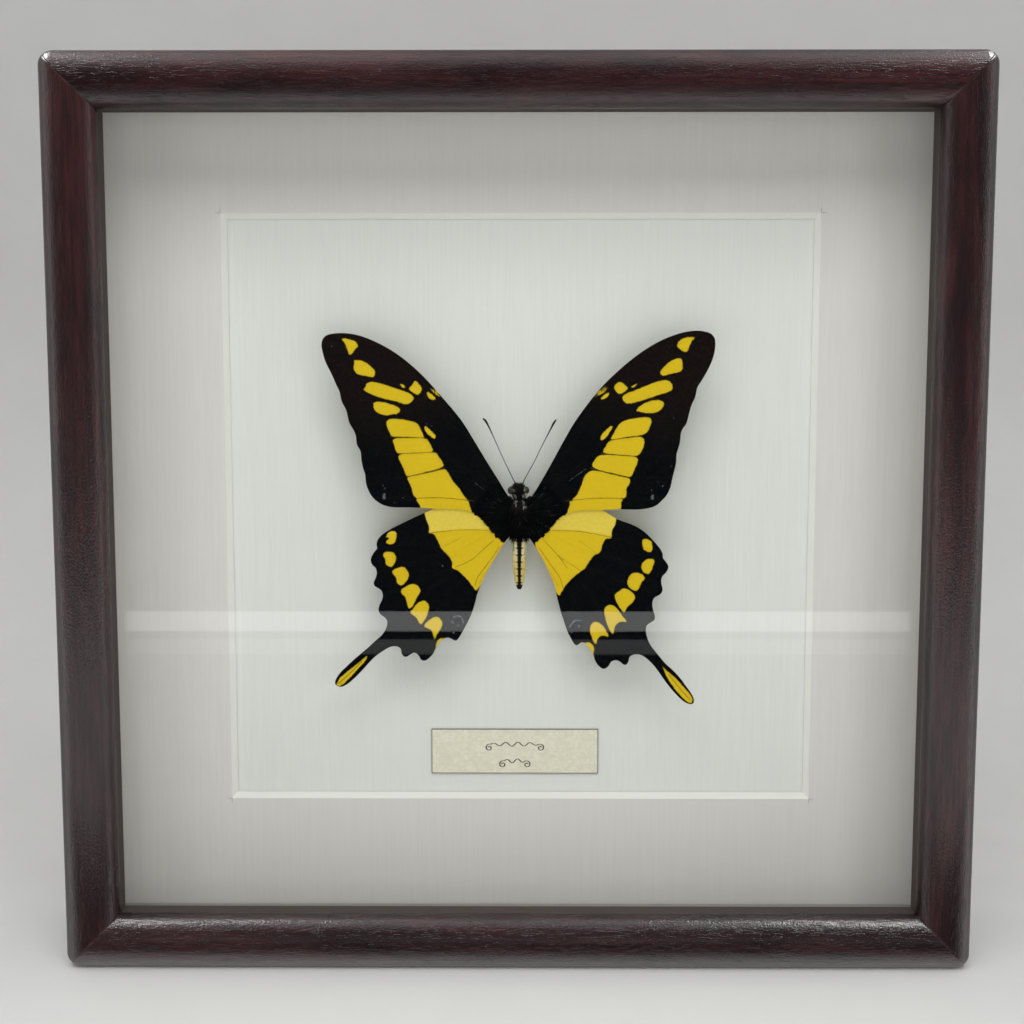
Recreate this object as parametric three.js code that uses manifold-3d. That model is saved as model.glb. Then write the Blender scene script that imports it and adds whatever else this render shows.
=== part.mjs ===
// Framed butterfly specimen: a deep glazed frame that holds one spread swallowtail on a pin.
// Millimetres. +Z is up, +X is to the right of a viewer who looks at the glass, and the glass
// faces -Y. The origin is the middle of the frame's footprint on the surface it stands on.
import * as THREE from 'three';
import { mergeVertices } from 'three/addons/utils/BufferGeometryUtils.js';
import Module from 'manifold-3d';

const wasm = await Module();
wasm.setup();

// ---- Driving dimensions -------------------------------------------------------------------

const fitGap = 0.3; // clearance between pieces that touch

const frameWidth = 224.4;
const frameHeight = 222;
const frameDepth = 41; // crown of the moulding to the back edge
const mouldingFace = 13.4; // width of the moulding, seen from the front
const crownRise = 5; // height of the half-round above the sides
const wallThickness = 4.5; // wood left outside the rebate
const lipDepth = 4.8; // height of the lip's inner face
const cornerRadius = 3.5; // rounding of the frame's outside corners
const mitreRelief = 0.15; // hairline that each rail gives up at a mitre

const glassThickness = 2;
const airDepth = 18; // width of the lining strips, glass to mat
const liningThickness = 1.3;
const matThickness = 1.4;
const windowSize = 152.4; // front edge of the bevel-cut window
const windowShift = 0.65; // the window sits this far right of the frame's middle
const mountThickness = 3;
const backThickness = 2.5;

const labelWidth = 44;
const labelHeight = 12;
const labelThickness = 0.3;
const labelLift = 0.15; // layer of glue under the label
const labelCentre = { x: -0.75, z: -63.75 }; // from the frame's middle

const specimenCentre = { x: 0.5, z: -1 }; // pin, from the frame's middle
const wingFloat = 10.4; // wing roots above the mount board
const wingThickness = 0.4;
const dihedral = THREE.MathUtils.degToRad(2.5); // wings rise towards the glass

const pinRadius = 0.3;
const pinInBody = 1.6; // how far the pin reaches into the thorax
const pinInBoard = 2.2;

const pointLength = 11;
const pointWidth = 5;
const pointThickness = 0.5;
const pointInWall = 2.2;
const pointOffset = 60; // points sit this far from the middle of each rail

const hangerWidth = 46;
const hangerHeight = 8;
const hangerThickness = 1;
const hangerDrop = 16; // middle of the hanger below the top of the frame
const toothPitch = 2;
const toothHeight = 1.2;
const nailSpacing = 40;
const nailShankRadius = 0.7;
const nailHeadRadius = 2;
const nailHeadHeight = 0.7;
const nailGrip = 1.6; // how far a nail reaches into the back board

// ---- Sizes that follow --------------------------------------------------------------------

const halfWidth = frameWidth / 2;
const halfHeight = frameHeight / 2;
const sheetWidth = frameWidth - 2 * (wallThickness + fitGap); // everything held in the rebate
const sheetHeight = frameHeight - 2 * (wallThickness + fitGap);
const ledgeDepth = crownRise + lipDepth;
const glassFront = ledgeDepth + fitGap;
const liningFront = glassFront + glassThickness + fitGap;
const matFront = liningFront + airDepth + fitGap;
const mountFront = matFront + matThickness + fitGap;
const backFront = mountFront + mountThickness + fitGap;
const fittingFront = backFront + backThickness + fitGap;
const wingDepth = mountFront - wingFloat;

// Depth is measured from the crown of the moulding towards the wall.
const depthToY = (depth) => depth - frameDepth / 2;

// ---- Helpers ------------------------------------------------------------------------------

const framedSpecimen = new THREE.Group();
const frameMiddle = new THREE.Group();
frameMiddle.position.z = halfHeight;
framedSpecimen.add(frameMiddle);

function finish(color, roughness, metalness = 0) {
  return new THREE.MeshStandardMaterial({ color, roughness, metalness });
}

function addPiece(parent, name, geometry, material) {
  const mesh = new THREE.Mesh(geometry, material);
  mesh.name = name;
  parent.add(mesh);
  return mesh;
}

// A closed solid for joining and cutting, from any three.js geometry.
function toSolid(geometry) {
  const bare = new THREE.BufferGeometry();
  bare.setAttribute('position', geometry.getAttribute('position').clone());
  if (geometry.index) bare.setIndex(geometry.index.clone());
  const merged = mergeVertices(bare, 1e-4);
  const corners = merged.index.array;
  const kept = [];
  for (let i = 0; i < corners.length; i += 3) {
    const [a, b, c] = [corners[i], corners[i + 1], corners[i + 2]];
    if (a !== b && b !== c && c !== a) kept.push(a, b, c);
  }
  return new wasm.Manifold(new wasm.Mesh({
    numProp: 3,
    vertProperties: new Float32Array(merged.getAttribute('position').array),
    triVerts: new Uint32Array(kept),
  }));
}

function toGeometry(solid) {
  const mesh = solid.getMesh();
  const geometry = new THREE.BufferGeometry();
  geometry.setAttribute('position', new THREE.BufferAttribute(mesh.vertProperties, 3));
  geometry.setIndex(new THREE.BufferAttribute(mesh.triVerts, 1));
  geometry.computeVertexNormals();
  return geometry;
}

// A flat shape drawn in X and Z, made `thickness` deep with its front face on y = 0.
function extrudeTowardsWall(shape, thickness, curveSegments) {
  const options = { depth: thickness, bevelEnabled: false, curveSegments };
  return new THREE.ExtrudeGeometry(shape, options).rotateX(Math.PI / 2).translate(0, thickness, 0);
}

// A square-cornered sheet, centred in X and Z, with its front face at a depth.
function sheetGeometry(width, height, front, thickness) {
  return new THREE.BoxGeometry(width, thickness, height)
    .translate(0, depthToY(front + thickness / 2), 0);
}

function circularHole(x, z, radius) {
  const hole = new THREE.Path();
  hole.absarc(x, z, radius, 0, 2 * Math.PI, false);
  return hole;
}

// ---- Frame --------------------------------------------------------------------------------

function mouldingProfile() {
  const profile = new THREE.Shape();
  const half = mouldingFace / 2;
  profile.moveTo(wallThickness, frameDepth);
  profile.lineTo(0, frameDepth);
  profile.lineTo(0, crownRise);
  profile.absellipse(half, crownRise, half, crownRise, Math.PI, 2 * Math.PI, false);
  profile.lineTo(mouldingFace, ledgeDepth);
  profile.lineTo(wallThickness, ledgeDepth);
  return profile;
}

// The frame's outline with rounded corners, a hair larger than the rails' flat sides.
function roundedBlock(halfLength, halfAcross) {
  const outline = new THREE.Shape();
  const inner = { x: halfLength + 0.01 - cornerRadius, z: halfAcross + 0.01 - cornerRadius };
  outline.absarc(inner.x, inner.z, cornerRadius, 0, Math.PI / 2, false);
  outline.absarc(-inner.x, inner.z, cornerRadius, Math.PI / 2, Math.PI, false);
  outline.absarc(-inner.x, -inner.z, cornerRadius, Math.PI, 1.5 * Math.PI, false);
  outline.absarc(inner.x, -inner.z, cornerRadius, 1.5 * Math.PI, 2 * Math.PI, false);
  return extrudeTowardsWall(outline, 2 * frameDepth, 6).translate(0, -frameDepth, 0);
}

// One mitred rail of the given half-length, lying halfAcross below the frame's middle.
function railGeometry(halfLength, halfAcross) {
  const options = { depth: 1, bevelEnabled: false, curveSegments: 14 };
  const rail = new THREE.ExtrudeGeometry(mouldingProfile(), options);
  const position = rail.getAttribute('position');
  for (let i = 0; i < position.count; i += 1) {
    const across = position.getX(i);
    const side = position.getZ(i) < 0.5 ? 1 : -1;
    const reach = halfLength - across - mitreRelief;
    position.setXYZ(i, side * reach, depthToY(position.getY(i)), across - halfAcross);
  }
  let solid = toSolid(rail).intersect(toSolid(roundedBlock(halfLength, halfAcross)));
  for (const x of [-pointOffset, pointOffset]) {
    const reach = 2 * (pointInWall + fitGap);
    const slot = new THREE.BoxGeometry(pointWidth + 2 * fitGap, pointThickness + 2 * fitGap, reach);
    slot.translate(x, depthToY(fittingFront + pointThickness / 2), wallThickness - halfAcross);
    solid = solid.subtract(toSolid(slot));
  }
  return toGeometry(solid);
}

function addFrame() {
  const wood = finish(0x3b2324, 0.38);
  ['bottom', 'left', 'top', 'right'].forEach((side, quarterTurns) => {
    const upright = quarterTurns % 2 === 1;
    const rail = upright ? railGeometry(halfHeight, halfWidth) : railGeometry(halfWidth, halfHeight);
    addPiece(frameMiddle, `frame_${side}`, rail, wood.clone()).rotation.y = quarterTurns * Math.PI / 2;
  });
}

// ---- Glass, lining, mat and boards --------------------------------------------------------

function addGlazing() {
  const glass = finish(0xdfe6e4, 0.05);
  glass.transparent = true;
  glass.opacity = 0.2;
  const pane = sheetGeometry(sheetWidth, sheetHeight, glassFront, glassThickness);
  addPiece(frameMiddle, 'glass_pane', pane, glass);
}

function addLining() {
  const card = finish(0xe9e9e4, 0.9);
  const sideX = (sheetWidth - liningThickness) / 2;
  const edgeZ = (sheetHeight - liningThickness) / 2;
  const uprightHeight = sheetHeight - 2 * (liningThickness + fitGap);
  const level = sheetGeometry(sheetWidth, liningThickness, liningFront, airDepth);
  const upright = sheetGeometry(liningThickness, uprightHeight, liningFront, airDepth);
  addPiece(frameMiddle, 'lining_top', level.clone(), card.clone()).position.z = edgeZ;
  addPiece(frameMiddle, 'lining_bottom', level, card.clone()).position.z = -edgeZ;
  addPiece(frameMiddle, 'lining_left', upright.clone(), card.clone()).position.x = -sideX;
  addPiece(frameMiddle, 'lining_right', upright, card.clone()).position.x = sideX;
}

// The window's four sides are cut at 45 degrees, wider at the front.
function addWindowMat() {
  const overcut = 0.5;
  const frontHalf = windowSize / 2 + overcut;
  const backHalf = windowSize / 2 - matThickness - overcut;
  const cutDepth = matThickness + 2 * overcut;
  const cutter = new THREE.CylinderGeometry(frontHalf * Math.SQRT2, backHalf * Math.SQRT2, cutDepth, 4)
    .rotateY(Math.PI / 4)
    .rotateX(Math.PI)
    .translate(windowShift, depthToY(matFront + matThickness / 2), 0);
  const sheet = sheetGeometry(sheetWidth, sheetHeight, matFront, matThickness);
  const mat = toSolid(sheet).subtract(toSolid(cutter));
  addPiece(frameMiddle, 'window_mat', toGeometry(mat), finish(0xe3e3dd, 0.9));
}

function addBoards() {
  const boreRadius = pinRadius + fitGap;
  const bore = new THREE.CylinderGeometry(boreRadius, boreRadius, 2 * (pinInBoard + fitGap), 10)
    .translate(specimenCentre.x, depthToY(mountFront), specimenCentre.z);
  const mount = sheetGeometry(sheetWidth, sheetHeight, mountFront, mountThickness);
  const bored = toSolid(mount).subtract(toSolid(bore));
  addPiece(frameMiddle, 'mount_board', toGeometry(bored), finish(0xe8e9e2, 0.9));

  const right = sheetWidth / 2;
  const top = sheetHeight / 2;
  const backOutline = new THREE.Shape([
    new THREE.Vector2(-right, -top),
    new THREE.Vector2(right, -top),
    new THREE.Vector2(right, top),
    new THREE.Vector2(-right, top),
  ]);
  for (const x of [-nailSpacing / 2, nailSpacing / 2]) {
    backOutline.holes.push(circularHole(x, halfHeight - hangerDrop, nailShankRadius + fitGap));
  }
  const back = extrudeTowardsWall(backOutline, backThickness, 5).translate(0, depthToY(backFront), 0);
  addPiece(frameMiddle, 'back_board', back, finish(0x8a6a4a, 0.75));
}

function addLabel() {
  const front = mountFront - labelLift - labelThickness;
  const card = sheetGeometry(labelWidth, labelHeight, front, labelThickness);
  const label = addPiece(frameMiddle, 'label_card', card, finish(0xe6e2c8, 0.8));
  label.position.set(labelCentre.x, 0, labelCentre.z);
}

// ---- Back fittings ------------------------------------------------------------------------

// A flat metal point: square where it enters the wall, pointed over the back board.
function pointGeometry(halfAcross) {
  const half = pointWidth / 2;
  const wallLine = wallThickness - halfAcross;
  const outline = new THREE.Shape([
    new THREE.Vector2(-half, wallLine - pointInWall),
    new THREE.Vector2(half, wallLine - pointInWall),
    new THREE.Vector2(half, wallLine + pointLength - pointInWall - half),
    new THREE.Vector2(0, wallLine + pointLength - pointInWall),
    new THREE.Vector2(-half, wallLine + pointLength - pointInWall - half),
  ]);
  return extrudeTowardsWall(outline, pointThickness, 1).translate(0, depthToY(fittingFront), 0);
}

function addPoints() {
  const steel = finish(0x9a9c9e, 0.4, 0.9);
  const sides = ['bottom', 'left', 'top', 'right'];
  sides.forEach((side, quarterTurns) => {
    [-pointOffset, pointOffset].forEach((offset, index) => {
      const halfAcross = quarterTurns % 2 === 1 ? halfWidth : halfHeight;
      const geometry = pointGeometry(halfAcross).translate(offset, 0, 0);
      const name = `point_${side}_${index + 1}`;
      addPiece(frameMiddle, name, geometry, steel.clone()).rotation.y = quarterTurns * Math.PI / 2;
    });
  });
}

function addHanger() {
  const steel = finish(0xb08d4a, 0.4, 0.9);
  const top = hangerHeight / 2;
  const bottom = -hangerHeight / 2;
  const toothed = hangerWidth / 2 - 5; // the row of teeth leaves plain ends round the nails
  const outline = new THREE.Shape();
  outline.moveTo(-hangerWidth / 2, top);
  outline.lineTo(-hangerWidth / 2, bottom);
  for (let x = -toothed; x < toothed; x += toothPitch) {
    outline.lineTo(x, bottom);
    outline.lineTo(x + toothPitch / 2, bottom + toothHeight);
  }
  outline.lineTo(toothed, bottom);
  outline.lineTo(hangerWidth / 2, bottom);
  outline.lineTo(hangerWidth / 2, top);
  const nailX = nailSpacing / 2;
  outline.holes.push(circularHole(-nailX, 0, nailShankRadius + fitGap));
  outline.holes.push(circularHole(nailX, 0, nailShankRadius + fitGap));
  const height = halfHeight - hangerDrop;
  const plate = extrudeTowardsWall(outline, hangerThickness, 5).translate(0, depthToY(fittingFront), height);
  addPiece(frameMiddle, 'hanger', plate, steel);

  const headBase = fittingFront + hangerThickness + fitGap;
  const shankTip = fittingFront - fitGap - nailGrip;
  const nail = new THREE.LatheGeometry([
    new THREE.Vector2(0, shankTip),
    new THREE.Vector2(nailShankRadius, shankTip + nailShankRadius),
    new THREE.Vector2(nailShankRadius, headBase),
    new THREE.Vector2(nailHeadRadius, headBase),
    new THREE.Vector2(0.7 * nailHeadRadius, headBase + 0.7 * nailHeadHeight),
    new THREE.Vector2(0, headBase + nailHeadHeight),
  ], 12).translate(0, -frameDepth / 2, height);
  addPiece(frameMiddle, 'hanger_nail_left', nail.clone(), steel.clone()).position.x = -nailX;
  addPiece(frameMiddle, 'hanger_nail_right', nail, steel.clone()).position.x = nailX;
}

// ---- Butterfly ----------------------------------------------------------------------------

// Outlines in X and Z from the pin, as seen from the front. Each starts and ends inside the
// thorax, which the root of the wing is cut back from.
const forewingLeftOutline = [
  [-1, 3.2], [-2.2, 4.6], [-5.3, 9.9], [-8.6, 15.2], [-11.6, 20.2], [-15, 25.6], [-20, 31.6],
  [-25, 37.1], [-30, 41.4], [-35, 44.5], [-40, 46.6], [-44, 47.3], [-47.6, 47.1], [-49.3, 46.2],
  [-49.9, 44.5], [-49.6, 42.4], [-48.9, 40], [-47.4, 36.9], [-46.3, 34.3], [-45.5, 32.6],
  [-45, 30.2], [-43.9, 28], [-43.2, 25], [-42, 22.8], [-41.5, 21.3], [-41.3, 19.3],
  [-40.4, 17.6], [-40.2, 15.3], [-39.8, 13.2], [-39.3, 11.6], [-39.1, 9.2], [-38.2, 6.9],
  [-37.2, 5.5], [-36, 4.5], [-34.4, 3.7], [-32, 3.25], [-27, 3.2], [-22, 2.95], [-17, 2.9],
  [-12.5, 2.2], [-7.5, 0.2], [-3.5, -1.4], [-1, -1.6],
];
const forewingRightOutline = [
  [1, 3.2], [2.4, 4.7], [5.6, 10], [8.4, 15], [11.1, 20], [14.6, 25.9], [20, 33], [25, 38],
  [30, 42.1], [35, 45.2], [40, 47.2], [44, 47.9], [46.9, 47.6], [48.4, 46.8], [49.1, 45.4],
  [49, 42.8], [48.3, 40.2], [47.2, 37.8], [45.9, 35.5], [44.8, 33.7], [44.3, 31.4],
  [43.3, 29], [42.7, 26.7], [42.2, 24.7], [41.2, 23.2], [40.8, 22], [40.6, 19.8], [40.1, 18],
  [39.75, 16.6], [39.7, 14.7], [39.2, 12.5], [38.7, 10.4], [38.3, 8.4], [37.4, 6.5],
  [36.2, 5.1], [34.9, 3.9], [33.2, 3.2], [30.1, 2.75], [25, 2.8], [20.8, 2.55], [16, 2.5],
  [12.3, 1.7], [7.5, 0], [3.5, -1.5], [1, -1.6],
];
const hindwingLeftOutline = [
  [-1, 1.5], [-6, 4.4], [-12, 5], [-17, 4.4], [-21.7, 2.7], [-25.9, 0.9], [-30.9, -1.5],
  [-33.2, -2.7], [-35, -4], [-36, -5.3], [-36.2, -6.4], [-36.1, -7.3], [-36.9, -8.3],
  [-37.6, -9.6], [-37.7, -10.5], [-37.3, -11.5], [-36.5, -12.3], [-36.2, -13.5],
  [-36.5, -14.8], [-37, -15.9], [-36.8, -16.8], [-35.7, -17.5], [-35, -18.2],
  [-34.75, -19.4], [-35, -20.5], [-35.6, -21.7], [-35.85, -23], [-35.4, -24], [-34.4, -24.8],
  [-33.75, -25.6], [-33.7, -26.8], [-34.2, -28.2], [-35.2, -29.6], [-36.7, -30.9],
  [-38.5, -32.6], [-40.4, -34.2], [-42.3, -35.8], [-44.2, -37.6], [-45.8, -39.2],
  [-46.8, -40.7], [-47.1, -41.9], [-46.5, -42.6], [-45.4, -42.8], [-44, -42.1],
  [-42.3, -40.7], [-40.4, -38.8], [-38.5, -36.7], [-36.7, -34.9], [-35, -33.7],
  [-33.5, -32.8], [-32.3, -32.4], [-31.1, -32.5], [-30.3, -33.1], [-30.1, -34.2],
  [-29.6, -35], [-28.8, -35.15], [-27.9, -34.6], [-26.9, -34.1], [-26.1, -34.5],
  [-25.6, -35.2], [-25.1, -36], [-24.2, -36.2], [-23.3, -35.7], [-22.2, -34.6],
  [-21.6, -33.4], [-21, -32.4], [-20.2, -31.3], [-19.2, -30.5], [-18.1, -30.35],
  [-17.3, -30.7], [-16.5, -31.1], [-15.8, -30.8], [-15, -29.6], [-14, -27.8],
  [-13.1, -26.1], [-12.1, -23.8], [-11.3, -21.3], [-10.8, -19.2], [-10, -17],
  [-8.6, -13.8], [-7.1, -11.2], [-5.5, -8.6], [-4.2, -6.4], [-2.8, -4.6], [-1, -2.6],
];
const hindwingRightOutline = [
  [1, 1.5], [6, 4], [12, 4.6], [17, 4], [20.9, 2.4], [24.4, 0.3], [28.15, -1.1],
  [30.5, -2.3], [32.4, -3.8], [34.1, -5.6], [35.5, -7.3], [36.15, -8.6], [36.2, -9.5],
  [36.8, -10.4], [37.45, -11.3], [37.6, -12.1], [37.1, -13.3], [36.4, -14], [35.9, -15],
  [35.95, -16.3], [36.25, -17.9], [35.6, -19], [34.4, -19.7], [33.8, -20.6], [33.7, -21.8],
  [33.95, -23.2], [34.35, -24.5], [34.25, -25.5], [33.2, -26.3], [32.4, -26.9], [32.1, -28],
  [32.3, -29.5], [33, -31.5], [34.15, -33.2], [35.7, -35.1], [37.2, -36.85], [39.15, -38.6],
  [40.9, -40.5], [42.6, -42.8], [43.95, -44.7], [44.5, -46.1], [44.3, -47], [43.4, -47.2],
  [41.85, -46.5], [40.1, -44.9], [38.4, -43], [36.65, -40.7], [34.9, -38.2], [33.2, -36.3],
  [31.5, -34.95], [30.1, -34.5], [28.8, -34.7], [28, -35.3], [27.75, -36.4], [27.2, -37.15],
  [26.5, -37.15], [25.7, -36.5], [24.9, -36.1], [24.15, -36.1], [23.3, -36.5],
  [22.8, -37.4], [22, -38.1], [21.1, -38.2], [19.9, -37.2], [19.15, -35.9], [18.8, -34.5],
  [18.1, -33.5], [17.2, -32.3], [16.6, -31.6], [15.7, -31.5], [15.1, -31.9], [14.5, -32.2],
  [13.9, -31.8], [13, -30.3], [12, -28.2], [11.3, -26.1], [10.6, -24], [9.9, -21.5],
  [9.3, -19], [8.9, -16.9], [7.3, -13.1], [6, -10.4], [4.4, -7.7], [2.9, -5.4], [1, -2.8],
];

// Body parts: centre and half-sizes along X (across), Y (towards the board) and Z (along).
const thorax = { centre: [-0.1, 0.2, 0.1], radii: [3.2, 2.9, 5.7] };
const head = { centre: [-0.15, 0.3, 7.3], radii: [1.6, 1.4, 1.9] };
const eyes = [-1, 1].map((side) => ({ centre: [-0.15 + 1.9 * side, 0.3, 7.5], radii: [1, 1.15, 1.05] }));

// Radius of the abdomen against Z; each segment swells a little between two narrower rings.
const abdomenTop = -3.6;
const abdomenTip = -17.9;
const abdomenSegments = 8;
const abdomenRadius = 1.85;
const ringWaist = 0.12;

const antennaRoot = { x: 0.6, y: -0.3, z: 8.1 };
const antennaKnots = [
  [1.4, -0.9, 10.2], [3.9, -1.5, 15], [6.4, -2, 20.2], [8.2, -2.4, 24], [9.1, -2.5, 25.6],
];
const antennaRadii = [0.17, 0.16, 0.16, 0.2, 0.32, 0.2];

// Legs fold flat under the thorax: hip, knee, ankle and toe on the right side.
const legs = [
  [[1.2, 1.8, 3.4], [2.6, 4.1, 5.4], [1.8, 5.6, 2.6], [1.4, 6, 0.8]],
  [[1.5, 2, 1], [4.2, 4.3, 1.2], [3.4, 5.9, -2.2], [2.6, 6.2, -3.9]],
  [[1.4, 1.9, -2], [3.9, 3.9, -2.4], [3, 5.4, -4.3], [1.5, 5.8, -4.6]],
];
const legRadii = [0.42, 0.3, 0.2, 0.16];

function ellipsoid({ centre, radii }, grow = 0) {
  const ball = new THREE.SphereGeometry(1, 16, 10).rotateX(Math.PI / 2);
  ball.scale(radii[0] + grow, radii[1] + grow, radii[2] + grow);
  return toSolid(ball.translate(...centre));
}

function abdomen(grow = 0) {
  const length = abdomenTop - abdomenTip;
  const profile = [new THREE.Vector2(0, abdomenTip - grow)];
  const steps = 2 * abdomenSegments;
  for (let step = 1; step < steps; step += 1) {
    const along = step / steps;
    const taper = Math.sqrt(Math.sin(Math.PI * Math.min(1, 0.06 + 0.72 * along)));
    const ring = step % 2 === 0 ? 1 - ringWaist : 1;
    profile.push(new THREE.Vector2(abdomenRadius * taper * ring + grow, abdomenTip + along * length));
  }
  profile.push(new THREE.Vector2(0, abdomenTop));
  return toSolid(new THREE.LatheGeometry(profile, 12).rotateX(Math.PI / 2));
}

// A chain of tapered rods through the given points, with a small ball at each bend.
function limb(points, radii) {
  const knots = points.map((point) => new THREE.Vector3(...point));
  let solid = null;
  for (let i = 0; i + 1 < knots.length; i += 1) {
    const step = knots[i + 1].clone().sub(knots[i]);
    const rod = new THREE.CylinderGeometry(radii[i + 1], radii[i], step.length(), 6);
    rod.applyQuaternion(new THREE.Quaternion().setFromUnitVectors(
      new THREE.Vector3(0, 1, 0), step.clone().normalize()));
    rod.translate(...knots[i].clone().addScaledVector(step, 0.5).toArray());
    const ball = new THREE.IcosahedronGeometry(1.12 * radii[i + 1]).translate(...knots[i + 1].toArray());
    const piece = toSolid(rod).add(toSolid(ball));
    solid = solid ? solid.add(piece) : piece;
  }
  return solid;
}

function mirrored(points, side) {
  return points.map(([x, y, z]) => [side * x, y, z]);
}

function bodySolid() {
  let body = ellipsoid(thorax).add(ellipsoid(head)).add(abdomen());
  for (const eye of eyes) body = body.add(ellipsoid(eye));
  const root = [antennaRoot.x, antennaRoot.y, antennaRoot.z];
  for (const side of [-1, 1]) {
    body = body.add(limb(mirrored([root, ...antennaKnots], side), antennaRadii));
    for (const leg of legs) body = body.add(limb(mirrored(leg, side), legRadii));
  }
  const boreRadius = pinRadius + fitGap;
  const thoraxBack = thorax.centre[1] + thorax.radii[1];
  const boreDepth = pinInBody + fitGap;
  const bore = new THREE.CylinderGeometry(boreRadius, boreRadius, 2 * boreDepth, 10);
  return body.subtract(toSolid(bore.translate(0, thoraxBack, 0)));
}

// A thin plate of the outline, turned up by the dihedral and cut back from the body.
function wingGeometry(outline, layerFront, side) {
  const shape = new THREE.Shape();
  shape.moveTo(...outline[0]);
  shape.splineThru(outline.slice(1).map(([x, z]) => new THREE.Vector2(x, z)));
  const plate = extrudeTowardsWall(shape, wingThickness, 1).translate(0, layerFront, 0);
  plate.rotateZ(-side * dihedral);
  let wing = toSolid(plate).subtract(ellipsoid(thorax, fitGap)).subtract(abdomen(fitGap));
  wing = wing.subtract(ellipsoid(head, fitGap));
  return toGeometry(wing);
}

function addButterfly() {
  const specimen = new THREE.Group();
  specimen.position.set(specimenCentre.x, depthToY(wingDepth), specimenCentre.z);
  frameMiddle.add(specimen);

  addPiece(specimen, 'butterfly_body', toGeometry(bodySolid()), finish(0x15130f, 0.7));
  const forewingFront = -wingThickness - fitGap / 2;
  const hindwingFront = fitGap / 2;
  const wings = [
    ['forewing_left', forewingLeftOutline, forewingFront, -1],
    ['forewing_right', forewingRightOutline, forewingFront, 1],
    ['hindwing_left', hindwingLeftOutline, hindwingFront, -1],
    ['hindwing_right', hindwingRightOutline, hindwingFront, 1],
  ];
  for (const [name, outline, front, side] of wings) {
    const colour = name.startsWith('fore') ? 0x191512 : 0x2a2412;
    addPiece(specimen, name, wingGeometry(outline, front, side), finish(colour, 0.75));
  }

  const pinTop = thorax.centre[1] + thorax.radii[1] - pinInBody;
  const pinEnd = wingFloat + pinInBoard;
  const pin = new THREE.CylinderGeometry(pinRadius, pinRadius, pinEnd - pinTop, 10);
  pin.translate(0, (pinTop + pinEnd) / 2, 0);
  addPiece(specimen, 'specimen_pin', pin, finish(0x8f9193, 0.35, 0.9));
}

addFrame();
addGlazing();
addLining();
addWindowMat();
addBoards();
addLabel();
addPoints();
addHanger();
addButterfly();

export default framedSpecimen;
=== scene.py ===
import math

import bpy
import numpy as np
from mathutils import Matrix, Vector, geometry


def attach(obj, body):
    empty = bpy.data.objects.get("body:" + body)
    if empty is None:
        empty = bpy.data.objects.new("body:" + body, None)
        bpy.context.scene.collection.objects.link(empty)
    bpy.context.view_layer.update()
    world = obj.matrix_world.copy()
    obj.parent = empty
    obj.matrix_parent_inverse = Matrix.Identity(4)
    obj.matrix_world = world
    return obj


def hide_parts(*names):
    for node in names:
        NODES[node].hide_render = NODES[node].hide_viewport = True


# Lengths in this file are millimetres in the frame of the CAD model, unless a name says otherwise.
# +Z is up, the glass faces -Y, and the origin is the middle of the footprint.
MM = 0.001

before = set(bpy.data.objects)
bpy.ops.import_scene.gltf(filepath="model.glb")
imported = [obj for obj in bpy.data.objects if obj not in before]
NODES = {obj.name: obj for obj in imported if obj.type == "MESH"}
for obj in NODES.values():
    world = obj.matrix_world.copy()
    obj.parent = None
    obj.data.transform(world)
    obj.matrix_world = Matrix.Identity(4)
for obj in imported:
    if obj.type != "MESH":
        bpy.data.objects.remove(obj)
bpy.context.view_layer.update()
RANDOM = np.random.default_rng(20)

HALF_WIDTH = 112.2
HALF_HEIGHT = 111.0
FRAME_DEPTH = 41.0
FACE = 13.4
CROWN = 5.0
WALL = 4.5
LEDGE = 9.8
CORNER = 3.5
MITRE_RELIEF = 0.05
ARRIS = 0.06  # how far the edge of a mitre is rubbed down
PIN = np.array([0.5, 1.5, 110.0])  # where the pin meets the plane of the wings
DIHEDRAL = math.radians(2.5)
FOREWING_PLANE, HINDWING_PLANE = -0.43, 0.27  # how far behind the pin's point each pair of wings lies
WING_THICKNESS = 0.16
VEIN_HEIGHT, VEIN_WIDTH = 0.09, 0.3
RIM_FALL, RIM_WIDTH = 0.12, 0.9  # how a wing bends back towards its edge
WING_PITCH, QUICK_WING_PITCH = 0.36, 0.8  # between a wing's mesh points
THORAX_HAIRS, QUICK_THORAX_HAIRS = 7000, 1500
ROOT_HAIRS, QUICK_ROOT_HAIRS = 3200, 700  # on each side
WINDOW_X = 0.65
WINDOW_HALF = 76.2
LABEL_CENTRE = (-0.75, 47.25)
LABEL_HALF = (22.0, 6.0)
LABEL_FRONT = 11.45
WAVE_SHARE, WAVE_HEIGHT, CURL_RADIUS = 0.72, 0.55, 0.95  # of the pen flourishes on the label
SWEEP_START, SWEEP_RADIUS, STAGE_REACH = 150.0, 180.0, 1500.0
CAMERA_PLACE = (0.35, -356.85, 149.05)
CAMERA_WAY = (-0.005, 0.9946, -0.1033)
HIGH_LIGHT, LOW_LIGHT = 0.82, 1.1  # the room's light from above and from below
BACKDROP_LIGHT = 0.6  # what the camera sees past the sweep
# Soft boxes that only light the piece, as (name, place, width, height, radiance): the glass and the
# lacquer don't mirror them.
SOFT_BOXES = [
    ("overhead", (-20, -370, 500), 560, 260, 2.92),
    ("front", (0, -430, 130), 260, 200, 1.85),
    ("from_left", (-330, -420, 160), 160, 300, 0.99),
    ("from_right", (260, -450, 160), 160, 300, 1.69),
]
# Strips below the camera, as (height above the floor, own height, radiance): the glass mirrors them.
STRIPS = [(31.05, 9.3, 1.3), (19.1, 7.0, 0.4)]


# ---- Materials ---------------------------------------------------------------------------------


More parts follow.
